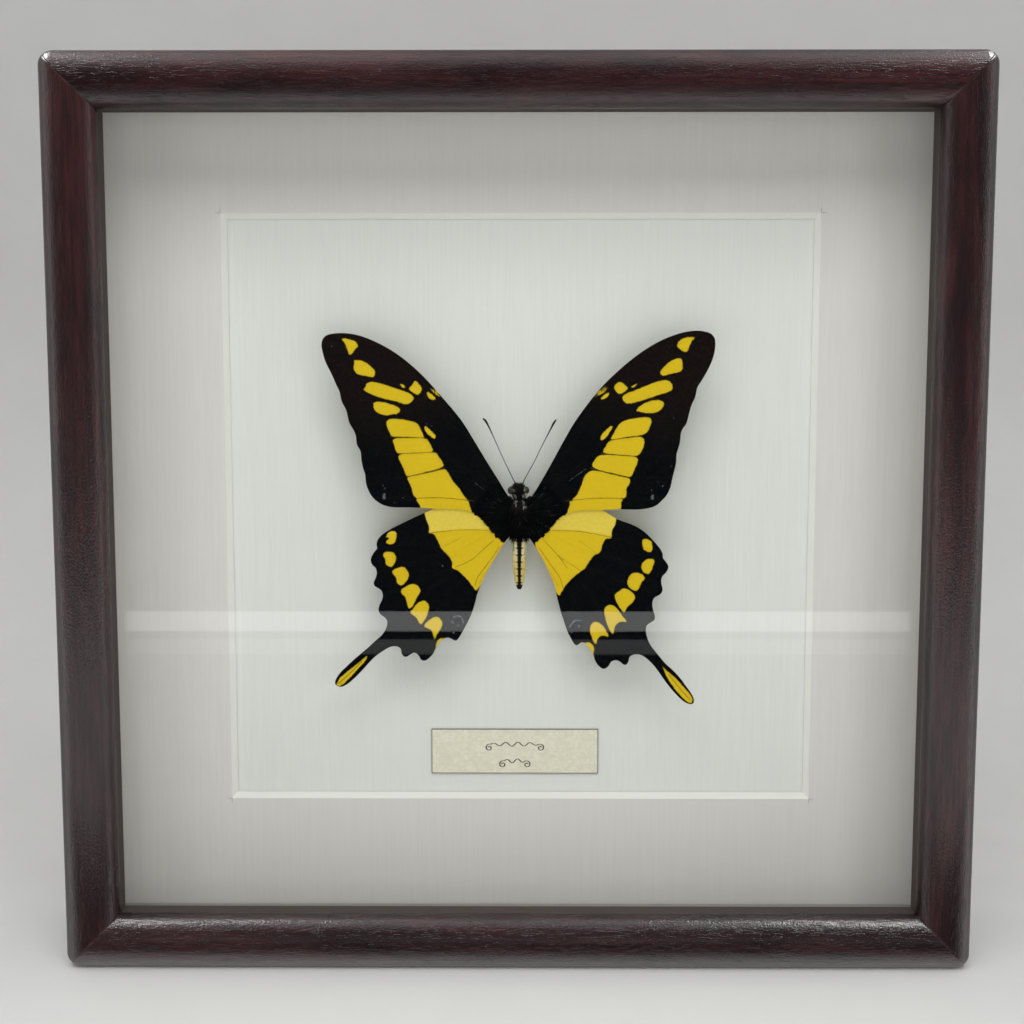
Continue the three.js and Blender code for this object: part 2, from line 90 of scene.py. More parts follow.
class Nodes:
    """A node tree and short ways to add to it."""

    def __init__(self, tree):
        self.tree = tree

    def put(self, socket, value):
        if isinstance(value, bpy.types.NodeSocket):
            self.tree.links.new(value, socket)
        else:
            socket.default_value = value

    def node(self, kind, inputs=(), output=0, **settings):
        node = self.tree.nodes.new(kind)
        for key, value in settings.items():
            setattr(node, key, value)
        for key, value in dict(inputs).items():
            self.put(node.inputs[key], value)
        return node.outputs[output]

    def place(self):
        return self.node("ShaderNodeTexCoord", output="Object")

    def axis(self, vector, name):
        return self.node("ShaderNodeSeparateXYZ", {0: vector}, output=name)

    def attribute(self, name, output="Fac"):
        return self.node("ShaderNodeAttribute", output=output, attribute_name=name)

    def maths(self, operation, a, b=0.0):
        return self.node("ShaderNodeMath", {0: a, 1: b}, operation=operation)

    def times(self, a, b):
        return self.maths("MULTIPLY", a, b)

    def plus(self, a, b):
        return self.maths("ADD", a, b)

    def minus(self, a, b):
        return self.maths("SUBTRACT", a, b)

    def off(self, value, middle):
        """How far a value is from a middle one."""
        return self.maths("ABSOLUTE", self.minus(value, middle))

    def stretch(self, vector, scale):
        return self.node("ShaderNodeVectorMath", {0: vector, 1: scale}, operation="MULTIPLY")

    def noise(self, vector, scale, detail=2.0, roughness=0.5, distortion=0.0):
        values = {"Vector": vector, "Scale": scale, "Detail": detail, "Roughness": roughness}
        return self.node("ShaderNodeTexNoise", {**values, "Distortion": distortion}, output="Fac")

    def span(self, value, low, high, to_low=0.0, to_high=1.0):
        """A value's range eased onto another range."""
        values = {"Value": value, "From Min": low, "From Max": high, "To Min": to_low, "To Max": to_high}
        return self.node("ShaderNodeMapRange", values, interpolation_type="SMOOTHSTEP")

    def blend(self, share, a, b):
        """One colour where the share is 0, the other where it is 1."""
        return self.node("ShaderNodeMix", {0: share, 6: a, 7: b}, output=2, data_type="RGBA")

    def bump(self, height, distance_mm, strength=1.0, under=None):
        values = {"Height": height, "Distance": distance_mm * MM, "Strength": strength}
        if under is not None:
            values["Normal"] = under
        return self.node("ShaderNodeBump", values, output="Normal")


class Shader(Nodes):
    """One material's node tree around its Principled BSDF."""

    def __init__(self, name):
        self.material = bpy.data.materials.new(name)
        self.material.use_nodes = True
        super().__init__(self.material.node_tree)
        self.bsdf = self.tree.nodes["Principled BSDF"]

    def finish(self, **inputs):
        for key, value in inputs.items():
            self.put(self.bsdf.inputs[key.replace("_", " ")], value)
        return self.material


def colour(red, green, blue):
    """sRGB 0-255 to a linear colour."""
    channels = [value / 255 for value in (red, green, blue)]
    return tuple(c / 12.92 if c <= 0.04045 else ((c + 0.055) / 1.055) ** 2.4 for c in channels) + (1.0,)


def wood_material():
    s = Shader("moulding_wood")
    grain = s.attribute("grain", "Vector")
    figure = s.noise(s.stretch(grain, (16, 110, 110)), 1.0, 4, 0.6, 0.9)
    streaks = s.noise(s.stretch(grain, (70, 1300, 1300)), 1.0, 4, 0.65)
    pores = s.noise(s.stretch(grain, (300, 4200, 4200)), 1.0, 2, 0.5)
    pore = s.span(pores, 0.56, 0.68)
    lip = s.attribute("lip")
    base = s.blend(s.span(figure, 0.32, 0.7), colour(28, 12, 15), colour(61, 29, 31))
    base = s.blend(s.span(streaks, 0.38, 0.66, 0.0, 0.7), base, colour(22, 11, 14))
    base = s.blend(s.times(pore, 0.6), base, colour(13, 7, 9))
    worn = s.attribute("edge")
    patchy = s.span(s.noise(s.place(), 900, 3), 0.45, 0.65)
    base = s.blend(s.times(s.times(worn, patchy), 0.25), base, colour(96, 76, 70))
    base = s.blend(s.times(lip, 0.8), base, colour(76, 68, 64))
    # a painted line of shade along the edge where the crown turns down into the lip
    base = s.blend(s.times(s.attribute("crease_shade"), 0.85), base, colour(9, 5, 6))
    roughness = s.maths("MAXIMUM", s.span(streaks, 0.3, 0.7, 0.32, 0.46), s.times(lip, 0.8))
    ripples = s.noise(s.stretch(grain, (150, 520, 520)), 1.0, 3, 0.6)
    speckle = s.noise(s.stretch(grain, (1900, 2400, 2400)), 1.0, 1, 0.5)
    normal = s.bump(ripples, 0.3, 0.28)
    normal = s.bump(s.minus(streaks, s.times(pore, 0.8)), 0.06, 0.6, normal)
    normal = s.bump(speckle, 0.11, 0.6, normal)
    gloss = s.minus(1.0, s.maths("MAXIMUM", lip, s.times(s.attribute("flank"), 0.6)))
    return s.finish(
        Base_Color=base, Roughness=roughness, Normal=normal, Specular_IOR_Level=0.3,
        Coat_Weight=s.times(gloss, 0.8), Coat_Roughness=0.2, Coat_Normal=normal,
    )


def glass_material():
    s = Shader("clear_glass")
    smudges = s.span(s.noise(s.place(), 38, 4, 0.6), 0.52, 0.75, 0.0, 0.012)
    return s.finish(Base_Color=(0.985, 0.995, 0.99, 1), Roughness=smudges, IOR=1.45, Transmission_Weight=1.0)


def card_material(name, face, core):
    """Mat board: a faintly streaked face and a whiter core where a side is cut at a slant."""
    s = Shader(name)
    place = s.place()
    streaks = s.noise(s.stretch(place, (1500, 1500, 45)), 1.0, 3, 0.6)
    fibres = s.noise(place, 1300, 4, 0.6)
    clouds = s.noise(place, 16, 2)
    dull = tuple(0.965 * value for value in face[:3]) + (1.0,)
    base = s.blend(s.span(streaks, 0.3, 0.7), dull, face)
    base = s.blend(s.span(clouds, 0.4, 0.7, 0.0, 0.25), base, dull)
    slant = s.axis(s.node("ShaderNodeNewGeometry", output="True Normal"), "Y")
    cut = s.times(s.maths("LESS_THAN", s.maths("ABSOLUTE", slant), 0.9),
                  s.maths("GREATER_THAN", s.maths("ABSOLUTE", slant), 0.3))
    base = s.blend(cut, base, core)
    across = s.off(s.axis(place, "X"), WINDOW_X * MM)
    up = s.off(s.axis(place, "Z"), HALF_HEIGHT * MM)
    for line, run in ((across, up), (up, across)):
        # the knife ran a little past each corner of the window; each slit is painted as a short line of shade
        near = s.maths("LESS_THAN", s.off(line, (WINDOW_HALF + 0.05) * MM), 0.07 * MM)
        past = s.times(s.maths("GREATER_THAN", run, WINDOW_HALF * MM),
                       s.maths("LESS_THAN", run, (WINDOW_HALF + 1.3) * MM))
        slit_shade = s.times(s.times(near, past), 0.7)
        base = s.blend(slit_shade, base, colour(120, 120, 112))
    normal = s.bump(s.plus(streaks, fibres), 0.015, 0.4)
    return s.finish(Base_Color=base, Roughness=0.85, Normal=normal, Specular_IOR_Level=0.25)


def label_material():
    s = Shader("label_paper")
    place = s.place()
    across = s.off(s.axis(place, "X"), LABEL_CENTRE[0] * MM)
    up = s.off(s.axis(place, "Z"), LABEL_CENTRE[1] * MM)
    to_edge = s.maths(
        "MINIMUM",
        s.minus(LABEL_HALF[0] * MM, across),
        s.minus(LABEL_HALF[1] * MM, up),
    )
    ragged = s.times(s.noise(place, 2500, 2), 0.1 * MM)
    border = s.maths("LESS_THAN", s.plus(to_edge, ragged), 0.24 * MM)
    laid = s.noise(s.stretch(place, (250, 250, 4200)), 1.0, 2)
    fibres = s.noise(place, 900, 4, 0.65)
    base = s.blend(s.span(fibres, 0.35, 0.7), colour(229, 225, 202), colour(240, 238, 219))
    base = s.blend(s.span(laid, 0.4, 0.7, 0.0, 0.35), base, colour(217, 211, 186))
    base = s.blend(s.times(border, 0.85), base, colour(58, 54, 44))
    normal = s.bump(s.plus(fibres, laid), 0.02, 0.6)
    return s.finish(Base_Color=base, Roughness=0.8, Normal=normal, Specular_IOR_Level=0.25)


def ink_material():
    s = Shader("pen_ink")
    uneven = s.noise(s.place(), 1800, 3)
    base = s.blend(uneven, colour(38, 36, 34), colour(84, 80, 72))
    return s.finish(Base_Color=base, Roughness=0.6, Normal=s.bump(uneven, 0.01))


def wing_material():
    s = Shader("wing_scales")
    place = s.place()
    scales = s.noise(place, 5200, 2, 0.6)
    dust = s.noise(place, 1500, 4, 0.75)
    veins = s.attribute("vein")
    brown = s.times(s.attribute("brown"), s.span(dust, 0.2, 0.75))
    black = s.blend(brown, (0.0012, 0.0026, 0.004, 1), (0.012, 0.007, 0.006, 1))
    black = s.blend(s.times(veins, 0.4), black, (0.006, 0.006, 0.006, 1))

    jitter = s.times(s.minus(scales, 0.5), 0.55)
    jitter = s.plus(jitter, s.times(s.minus(dust, 0.5), 0.5))
    edge = s.plus(s.attribute("yellow"), jitter)
    yellow = s.blend(s.attribute("pale"), (0.68, 0.48, 0.014, 1), (0.75, 0.59, 0.09, 1))
    mottled = s.span(dust, 0.35, 0.75, 0.0, 0.35)
    yellow = s.blend(mottled, yellow, (0.57, 0.38, 0.01, 1))
    yellow = s.blend(s.span(scales, 0.35, 0.7, 0.0, 0.2), yellow, (0.8, 0.63, 0.06, 1))
    inner_margin = s.span(s.axis(s.attribute("radial", "Vector"), "X"), -27, -21, 0.45, 0.0)
    yellow = s.blend(inner_margin, yellow, (0.74, 0.42, 0.012, 1))
    base = s.blend(s.span(edge, -0.11, 0.13), black, yellow)
    stray = s.times(s.span(edge, 0.1, 0.9, 0.5, 0.0), s.span(scales, 0.6, 0.68))
    base = s.blend(stray, base, (0.06, 0.035, 0.008, 1))
    line = s.span(s.plus(s.attribute("line"), s.times(jitter, 0.3)), -0.05, 0.1)
    base = s.blend(s.times(line, 0.8), base, (0.11, 0.075, 0.008, 1))
    fleck = s.span(s.plus(s.attribute("fleck"), s.times(jitter, 1.5)), -0.1, 0.25)
    base = s.blend(s.times(fleck, 0.6), base, (0.20, 0.23, 0.25, 1))
    streak = s.noise(s.attribute("radial", "Vector"), 1.0, 3, 0.6)
    ragged = s.times(s.minus(streak, 0.5), 1.3)
    hair = s.span(s.plus(s.attribute("hairy"), ragged), 0.46, 0.58)
    base = s.blend(hair, base, (0.0015, 0.002, 0.003, 1))
    normal = s.bump(scales, 0.05, 0.5)
    return s.finish(Base_Color=base, Roughness=0.7, Normal=normal, Specular_IOR_Level=0.01)


def chitin_material():
    s = Shader("dark_chitin")
    rough = s.noise(s.place(), 3200, 3, 0.7)
    base = s.blend(rough, (0.002, 0.002, 0.002, 1), (0.012, 0.01, 0.009, 1))
    return s.finish(Base_Color=base, Roughness=0.5, Normal=s.bump(rough, 0.08), Specular_IOR_Level=0.2)


def eye_material():
    s = Shader("compound_eye")
    cells = s.node("ShaderNodeTexVoronoi", {"Vector": s.place(), "Scale": 6500.0}, output="Distance")
    clouds = s.noise(s.place(), 1100, 2)
    base = s.blend(clouds, colour(22, 20, 19), colour(62, 57, 53))
    return s.finish(Base_Color=base, Roughness=0.22, Normal=s.bump(cells, 0.03, 0.5), Coat_Weight=0.5)


def abdomen_material():
    s = Shader("abdomen_scales")
    place = s.place()
    scales = s.noise(place, 4200, 3, 0.7)
    stripe = s.plus(s.attribute("stripe"), s.times(s.minus(scales, 0.5), 0.6))
    pale = s.blend(s.span(scales, 0.3, 0.7), colour(206, 194, 144), colour(228, 220, 176))
    lower = s.span(s.axis(place, "Z"), (PIN[2] - 13) * MM, (PIN[2] - 7) * MM, 0.75, 0.0)
    pale = s.blend(lower, pale, colour(214, 186, 84))
    ring = s.attribute("ring")
    pale = s.blend(s.times(ring, 0.35), pale, colour(150, 128, 70))
    dots = s.times(s.attribute("flank"), s.span(s.noise(place, 1500, 2), 0.55, 0.62))
    pale = s.blend(dots, pale, colour(52, 44, 34))
    base = s.blend(s.span(stripe, -0.08, 0.1), pale, (0.006, 0.005, 0.004, 1))
    return s.finish(Base_Color=base, Roughness=0.65, Normal=s.bump(scales, 0.1, 0.7), Specular_IOR_Level=0.2)


def hair_material():
    s = Shader("body_hair")
    tone = s.attribute("tone")
    spots = s.noise(s.place(), 2600, 2)
    base = s.blend(s.span(tone, 0.0, 0.5), (0.001, 0.0014, 0.002, 1), (0.02, 0.02, 0.022, 1))
    base = s.blend(s.span(tone, 0.5, 1.0), base, (0.42, 0.42, 0.38, 1))
    base = s.blend(s.times(spots, 0.3), base, (0.003, 0.003, 0.003, 1))
    return s.finish(Base_Color=base, Roughness=0.6, Normal=s.bump(spots, 0.01), Specular_IOR_Level=0.06)


def metal_material(name, light, dark, along):
    s = Shader(name)
    place = s.place()
    brushed = s.noise(s.stretch(place, along), 1.0, 3, 0.6)
    tarnish = s.span(s.noise(place, 420, 4, 0.65), 0.42, 0.72)
    base = s.blend(brushed, dark, light)
    base = s.blend(s.times(tarnish, 0.4), base, tuple(0.45 * v for v in dark[:3]) + (1.0,))
    roughness = s.span(tarnish, 0.0, 1.0, 0.24, 0.5)
    return s.finish(Base_Color=base, Metallic=1.0, Roughness=roughness, Normal=s.bump(brushed, 0.02, 0.6))


def hardboard_material():
    s = Shader("hardboard")
    place = s.place()
    chips = s.noise(place, 700, 5, 0.7)
    clouds = s.noise(place, 24, 3)
    base = s.blend(s.span(chips, 0.3, 0.7), colour(104, 76, 50), colour(150, 116, 80))
    base = s.blend(s.span(clouds, 0.4, 0.7, 0.0, 0.4), base, colour(92, 66, 44))
    return s.finish(Base_Color=base, Roughness=0.62, Normal=s.bump(chips, 0.08, 0.6), Specular_IOR_Level=0.35)


def floor_material():
    s = Shader("pale_floor")
    base = s.blend(s.noise(s.place(), 30, 4), (0.76, 0.76, 0.75, 1), (0.82, 0.82, 0.81, 1))
    return s.finish(Base_Color=base, Roughness=0.9, Specular_IOR_Level=0.1)


# ---- Meshes ------------------------------------------------------------------------------------


def add_mesh(name, points, faces, material, sharp_deg=None):
    mesh = bpy.data.meshes.new(name)
    mesh.from_pydata((np.asarray(points) * MM).tolist(), [], [list(map(int, face)) for face in faces])
    mesh.shade_smooth()
    if sharp_deg is not None:
        mesh.set_sharp_from_angle(angle=math.radians(sharp_deg))
    mesh.materials.append(material)
    piece = bpy.data.objects.new(name, mesh)
    bpy.context.scene.collection.objects.link(piece)
    return piece


def add_values(piece, name, values):
    layer = piece.data.attributes.new(name, "FLOAT", "POINT")
    layer.data.foreach_set("value", np.asarray(values, np.float32))


def add_vectors(piece, name, values):
    layer = piece.data.attributes.new(name, "FLOAT_VECTOR", "POINT")
    layer.data.foreach_set("vector", np.asarray(values, np.float32).ravel())


def hand_in(piece, slot, *nodes):
    """The piece rides on the body and stands for CAD nodes, which are hidden. The slot is not used."""
    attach(piece, "root")
    if nodes:
        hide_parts(*nodes)


def catmull(points, steps, closed=False):
    """A smooth curve through points, with some steps from each to the next."""
    points = np.asarray(points, float)
    count = len(points)
    line = []
    for i in range(count if closed else count - 1):
        near = range(i - 1, i + 3)
        near = [k % count for k in near] if closed else [min(max(k, 0), count - 1) for k in near]
        a, b, c, d = points[near]
        square, cube = 2 * a - 5 * b + 4 * c - d, 3 * b - a - 3 * c + d
        for t in np.arange(steps) / steps:
            line.append(0.5 * (2 * b + (c - a) * t + square * t**2 + cube * t**3))
    if not closed:
        line.append(points[-1])
    return np.array(line)


def ring_faces(rings, sides):
    """Quads between one ring of points and the next, and a cap at either end."""
    faces = []
    for i in range(rings - 1):
        for k in range(sides):
            n = (k + 1) % sides
            faces.append([i * sides + k, i * sides + n, (i + 1) * sides + n, (i + 1) * sides + k])
    return faces + [list(range(sides))[::-1], [(rings - 1) * sides + k for k in range(sides)]]


def tube(points, radii, sides):
    """A capped tube along points: its points and faces."""
    points = np.asarray(points, float)
    ahead = np.gradient(points, axis=0)
    ahead /= np.linalg.norm(ahead, axis=1)[:, None]
    side = np.cross(ahead, [0.0, 1.0, 0.0])
    side /= np.linalg.norm(side, axis=1)[:, None]
    up = np.cross(side, ahead)
    turn = np.arange(sides) * 2 * math.pi / sides
    rings = points[:, None] + np.asarray(radii)[:, None, None] * (
        np.cos(turn)[None, :, None] * side[:, None] + np.sin(turn)[None, :, None] * up[:, None]
    )
    return rings.reshape(-1, 3), ring_faces(len(points), sides)


def ball(centre, radii, rings=28, sides=40):
    """An ellipsoid's points and faces, its poles on Z."""
    points = [[0.0, 0.0, 1.0]]
    for i in range(1, rings):
        tilt = math.pi * i / rings
        for k in range(sides):
            turn = 2 * math.pi * k / sides
            points.append([math.sin(tilt) * math.cos(turn), math.sin(tilt) * math.sin(turn), math.cos(tilt)])
    points.append([0.0, 0.0, -1.0])
    last = len(points) - 1
    faces = [[0, 1 + k, 1 + (k + 1) % sides] for k in range(sides)]
    for i in range(rings - 2):
        for k in range(sides):
            a, b = 1 + i * sides + k, 1 + i * sides + (k + 1) % sides
            faces.append([a, a + sides, b + sides, b])
    faces += [[last, last - 1 - (k + 1) % sides, last - 1 - k] for k in range(sides)]
    return np.asarray(centre) + np.asarray(points) * np.asarray(radii), faces


def joined(parts):
    """Several parts' points and faces as one."""
    points, faces, start = [], [], 0
    for part_points, part_faces in parts:
        points.append(part_points)
        faces += [[index + start for index in face] for face in part_faces]
        start += len(part_points)
    return np.concatenate(points), faces


# ---- Frame -------------------------------------------------------------------------------------


def rail_profile():
    """The moulding's section as (inward, depth), from the back rim's outer edge round to the rebate."""
    soft = 0.35
    section = [(soft, FRAME_DEPTH), (0.0, FRAME_DEPTH - soft)]
    section += [(0.0, depth) for depth in (30.0, 20.0, 12.0, 8.0)]
    for turn in np.linspace(0, math.pi, 41):
        section.append((FACE / 2 * (1 - math.cos(turn)), CROWN * (1 - math.sin(turn))))
    section += [(FACE, CROWN + 0.2), (FACE, 7.0), (FACE, LEDGE - soft), (FACE - soft, LEDGE)]
    section += [(9.0, LEDGE), (WALL, LEDGE), (WALL, 20.0)]
    return section + [(WALL, FRAME_DEPTH - soft), (WALL - soft, FRAME_DEPTH)]


def add_rail(name, quarter_turns, half_length, half_across, wood, offset):
    """A mitred rail, made as the bottom one and then turned, with the values that its material reads."""
    section = rail_profile()
    near_end = [MITRE_RELIEF, MITRE_RELIEF + 0.22, 0.7, 1.2, 1.7, 2.2, 2.7, 3.2, 3.6]
    near_end += [5.0, 9.0, 20.0, 45.0, 80.0]
    stations = [(from_end, -1) for from_end in near_end] + [(from_end, 1) for from_end in near_end[::-1]]
    points, grain, edge, lip, crease_shade, flank = [], [], [], [], [], []
    for index, (from_end, side) in enumerate(stations):
        at_end = index in (0, len(stations) - 1)
        for inward, depth in section:
            eased = ARRIS if at_end and depth < 7 else 0.0
            radius = max(CORNER - inward, 0.0)
            run, shift = from_end, 0.0
            if from_end < radius:
                bend = math.radians(45) * (1 - from_end / radius)
                run, shift = radius * (1 - math.sin(bend)), radius * (1 - math.cos(bend))
            along = side * (half_length - inward - run)
            points.append([along, depth + eased - FRAME_DEPTH / 2, inward + shift - half_across])
            grain.append([(along + offset) * MM, (inward + 0.31 * offset) * MM, depth * MM])
            edge.append(max(0.0, 1 - from_end / 0.6) if depth < CROWN else 0.0)
            lip.append(float(inward > WALL and depth > CROWN + 0.1))
            # where a line of shade is painted, at the edge between the crown and the lip
            crease_shade.append(float(inward > FACE - 0.12 and depth < CROWN + 0.1))
            flank.append(float(np.clip((inward - FACE) / 0.9 + 1, 0, 1)))
    turn = quarter_turns * math.pi / 2
    cosine, sine = math.cos(turn), math.sin(turn)
    x, y, z = np.array(points).T
    placed = np.stack([x * cosine + z * sine, y, z * cosine - x * sine], 1) + [0, 0, HALF_HEIGHT]
    rail = add_mesh(name, placed, ring_faces(len(stations), len(section)), wood, sharp_deg=38)
    add_vectors(rail, "grain", grain)
    for layer, values in (("edge", edge), ("lip", lip), ("crease_shade", crease_shade), ("flank", flank)):
        add_values(rail, layer, values)
    hand_in(rail, "moulding", name.replace("rail", "frame"))


# ---- Wings -------------------------------------------------------------------------------------
# Outlines and markings are drawn in X and Z from the pin, as seen from the front.


def dots(*numbers):
    """Points from their coordinates in turn."""
    return np.array(numbers, float).reshape(-1, 2)


FOREWING_LEFT = dots(
    -0.99, 3.16, -2.17, 4.54, -5.24, 9.78, -8.5, 15.02, -11.46, 19.96, -14.82, 25.29, -19.76, 31.22,
    -24.7, 36.65, -29.64, 40.9, -34.58, 43.97, -39.52, 46.04, -43.47, 46.73, -47.03, 46.53, -48.71, 45.65,
    -49.3, 43.97, -49, 41.89, -48.31, 39.52, -46.83, 36.46, -45.74, 33.89, -44.95, 32.21, -44.46, 29.84,
    -43.37, 27.66, -42.68, 24.7, -41.5, 22.53, -41, 21.04, -40.8, 19.07, -39.92, 17.39, -39.72, 15.12,
    -39.32, 13.04, -38.83, 11.46, -38.63, 9.09, -37.74, 6.82, -36.75, 5.43, -35.57, 4.45, -33.99, 3.66,
    -31.62, 3.21, -26.68, 3.16, -21.74, 2.91, -16.8, 2.87, -12.35, 2.17, -7.41, 0.2, -3.46, -1.38,
    -0.99, -1.58
)
FOREWING_RIGHT = dots(
    0.99, 3.16, 2.37, 4.64, 5.53, 9.88, 8.3, 14.82, 10.97, 19.76, 14.42, 25.59, 19.76, 32.6, 24.7, 37.54,
    29.64, 41.59, 34.58, 44.66, 39.52, 46.63, 43.47, 47.33, 46.34, 47.03, 47.82, 46.24, 48.51, 44.86,
    48.41, 42.29, 47.72, 39.72, 46.63, 37.35, 45.35, 35.07, 44.26, 33.3, 43.77, 31.02, 42.78, 28.65,
    42.19, 26.38, 41.69, 24.4, 40.71, 22.92, 40.31, 21.74, 40.11, 19.56, 39.62, 17.78, 39.27, 16.4,
    39.22, 14.52, 38.73, 12.35, 38.24, 10.28, 37.84, 8.3, 36.95, 6.42, 35.77, 5.04, 34.48, 3.85, 32.8, 3.16,
    29.74, 2.72, 24.7, 2.77, 20.55, 2.52, 15.81, 2.47, 12.15, 1.68, 7.41, 0, 3.46, -1.48, 0.99, -1.58
)
HINDWING_LEFT = dots(
    -1, 1.5, -6, 4.4, -12, 5, -17, 4.4, -21.7, 2.7, -25.9, 0.9, -30.9, -1.5, -33.2, -2.7, -35, -4,
    -36, -5.3, -36.2, -6.4, -36.1, -7.3, -36.9, -8.3, -37.6, -9.6, -37.7, -10.5, -37.3, -11.5, -36.5, -12.3,
    -36.2, -13.5, -36.5, -14.8, -37, -15.9, -36.8, -16.8, -35.7, -17.5, -35, -18.2, -34.75, -19.4,
    -35, -20.5, -35.6, -21.7, -35.85, -23, -35.4, -24, -34.4, -24.8, -33.75, -25.6, -33.7, -26.8,
    -34.2, -28.2, -35.2, -29.6, -36.7, -30.9, -38.5, -32.6, -40.4, -34.2, -42.3, -35.8, -44.2, -37.6,
    -45.8, -39.2, -46.8, -40.7, -47.1, -41.9, -46.5, -42.6, -45.4, -42.8, -44, -42.1, -42.3, -40.7,
    -40.4, -38.8, -38.5, -36.7, -36.7, -34.9, -35, -33.7, -33.5, -32.8, -32.3, -32.4, -31.1, -32.5,
    -30.3, -33.1, -30.1, -34.2, -29.6, -35, -28.8, -35.15, -27.9, -34.6, -26.9, -34.1, -26.1, -34.5,
    -25.6, -35.2, -25.1, -36, -24.2, -36.2, -23.3, -35.7, -22.2, -34.6, -21.6, -33.4, -21, -32.4,
    -20.2, -31.3, -19.2, -30.5, -18.1, -30.35, -17.3, -30.7, -16.5, -31.1, -15.8, -30.8, -15, -29.6,
    -14, -27.8, -13.1, -26.1, -12.1, -23.8, -11.3, -21.3, -10.8, -19.2, -10, -17, -8.6, -13.8, -7.1, -11.2,
    -5.5, -8.6, -4.2, -6.4, -2.8, -4.6, -1, -2.6
)
HINDWING_RIGHT = dots(
    1, 1.5, 6, 4, 12, 4.6, 17, 4, 20.9, 2.4, 24.4, 0.3, 28.15, -1.1, 30.5, -2.3, 32.4, -3.8, 34.1, -5.6,
    35.5, -7.3, 36.15, -8.6, 36.2, -9.5, 36.8, -10.4, 37.45, -11.3, 37.6, -12.1, 37.1, -13.3, 36.4, -14,
    35.9, -15, 35.95, -16.3, 36.25, -17.9, 35.6, -19, 34.4, -19.7, 33.8, -20.6, 33.7, -21.8, 33.95, -23.2,
    34.35, -24.5, 34.25, -25.5, 33.2, -26.3, 32.4, -26.9, 32.1, -28, 32.3, -29.5, 33, -31.5, 34.15, -33.2,
    35.7, -35.1, 37.2, -36.85, 39.15, -38.6, 40.9, -40.5, 42.6, -42.8, 43.95, -44.7, 44.5, -46.1, 44.3, -47,
    43.4, -47.2, 41.85, -46.5, 40.1, -44.9, 38.4, -43, 36.65, -40.7, 34.9, -38.2, 33.2, -36.3, 31.5, -34.95,
    30.1, -34.5, 28.8, -34.7, 28, -35.3, 27.75, -36.4, 27.2, -37.15, 26.5, -37.15, 25.7, -36.5, 24.9, -36.1,
    24.15, -36.1, 23.3, -36.5, 22.8, -37.4, 22, -38.1, 21.1, -38.2, 19.9, -37.2, 19.15, -35.9, 18.8, -34.5,
    18.1, -33.5, 17.2, -32.3, 16.6, -31.6, 15.7, -31.5, 15.1, -31.9, 14.5, -32.2, 13.9, -31.8, 13, -30.3,
    12, -28.2, 11.3, -26.1, 10.6, -24, 9.9, -21.5, 9.3, -19, 8.9, -16.9, 7.3, -13.1, 6, -10.4, 4.4, -7.7,
    2.9, -5.4, 1, -2.8
)
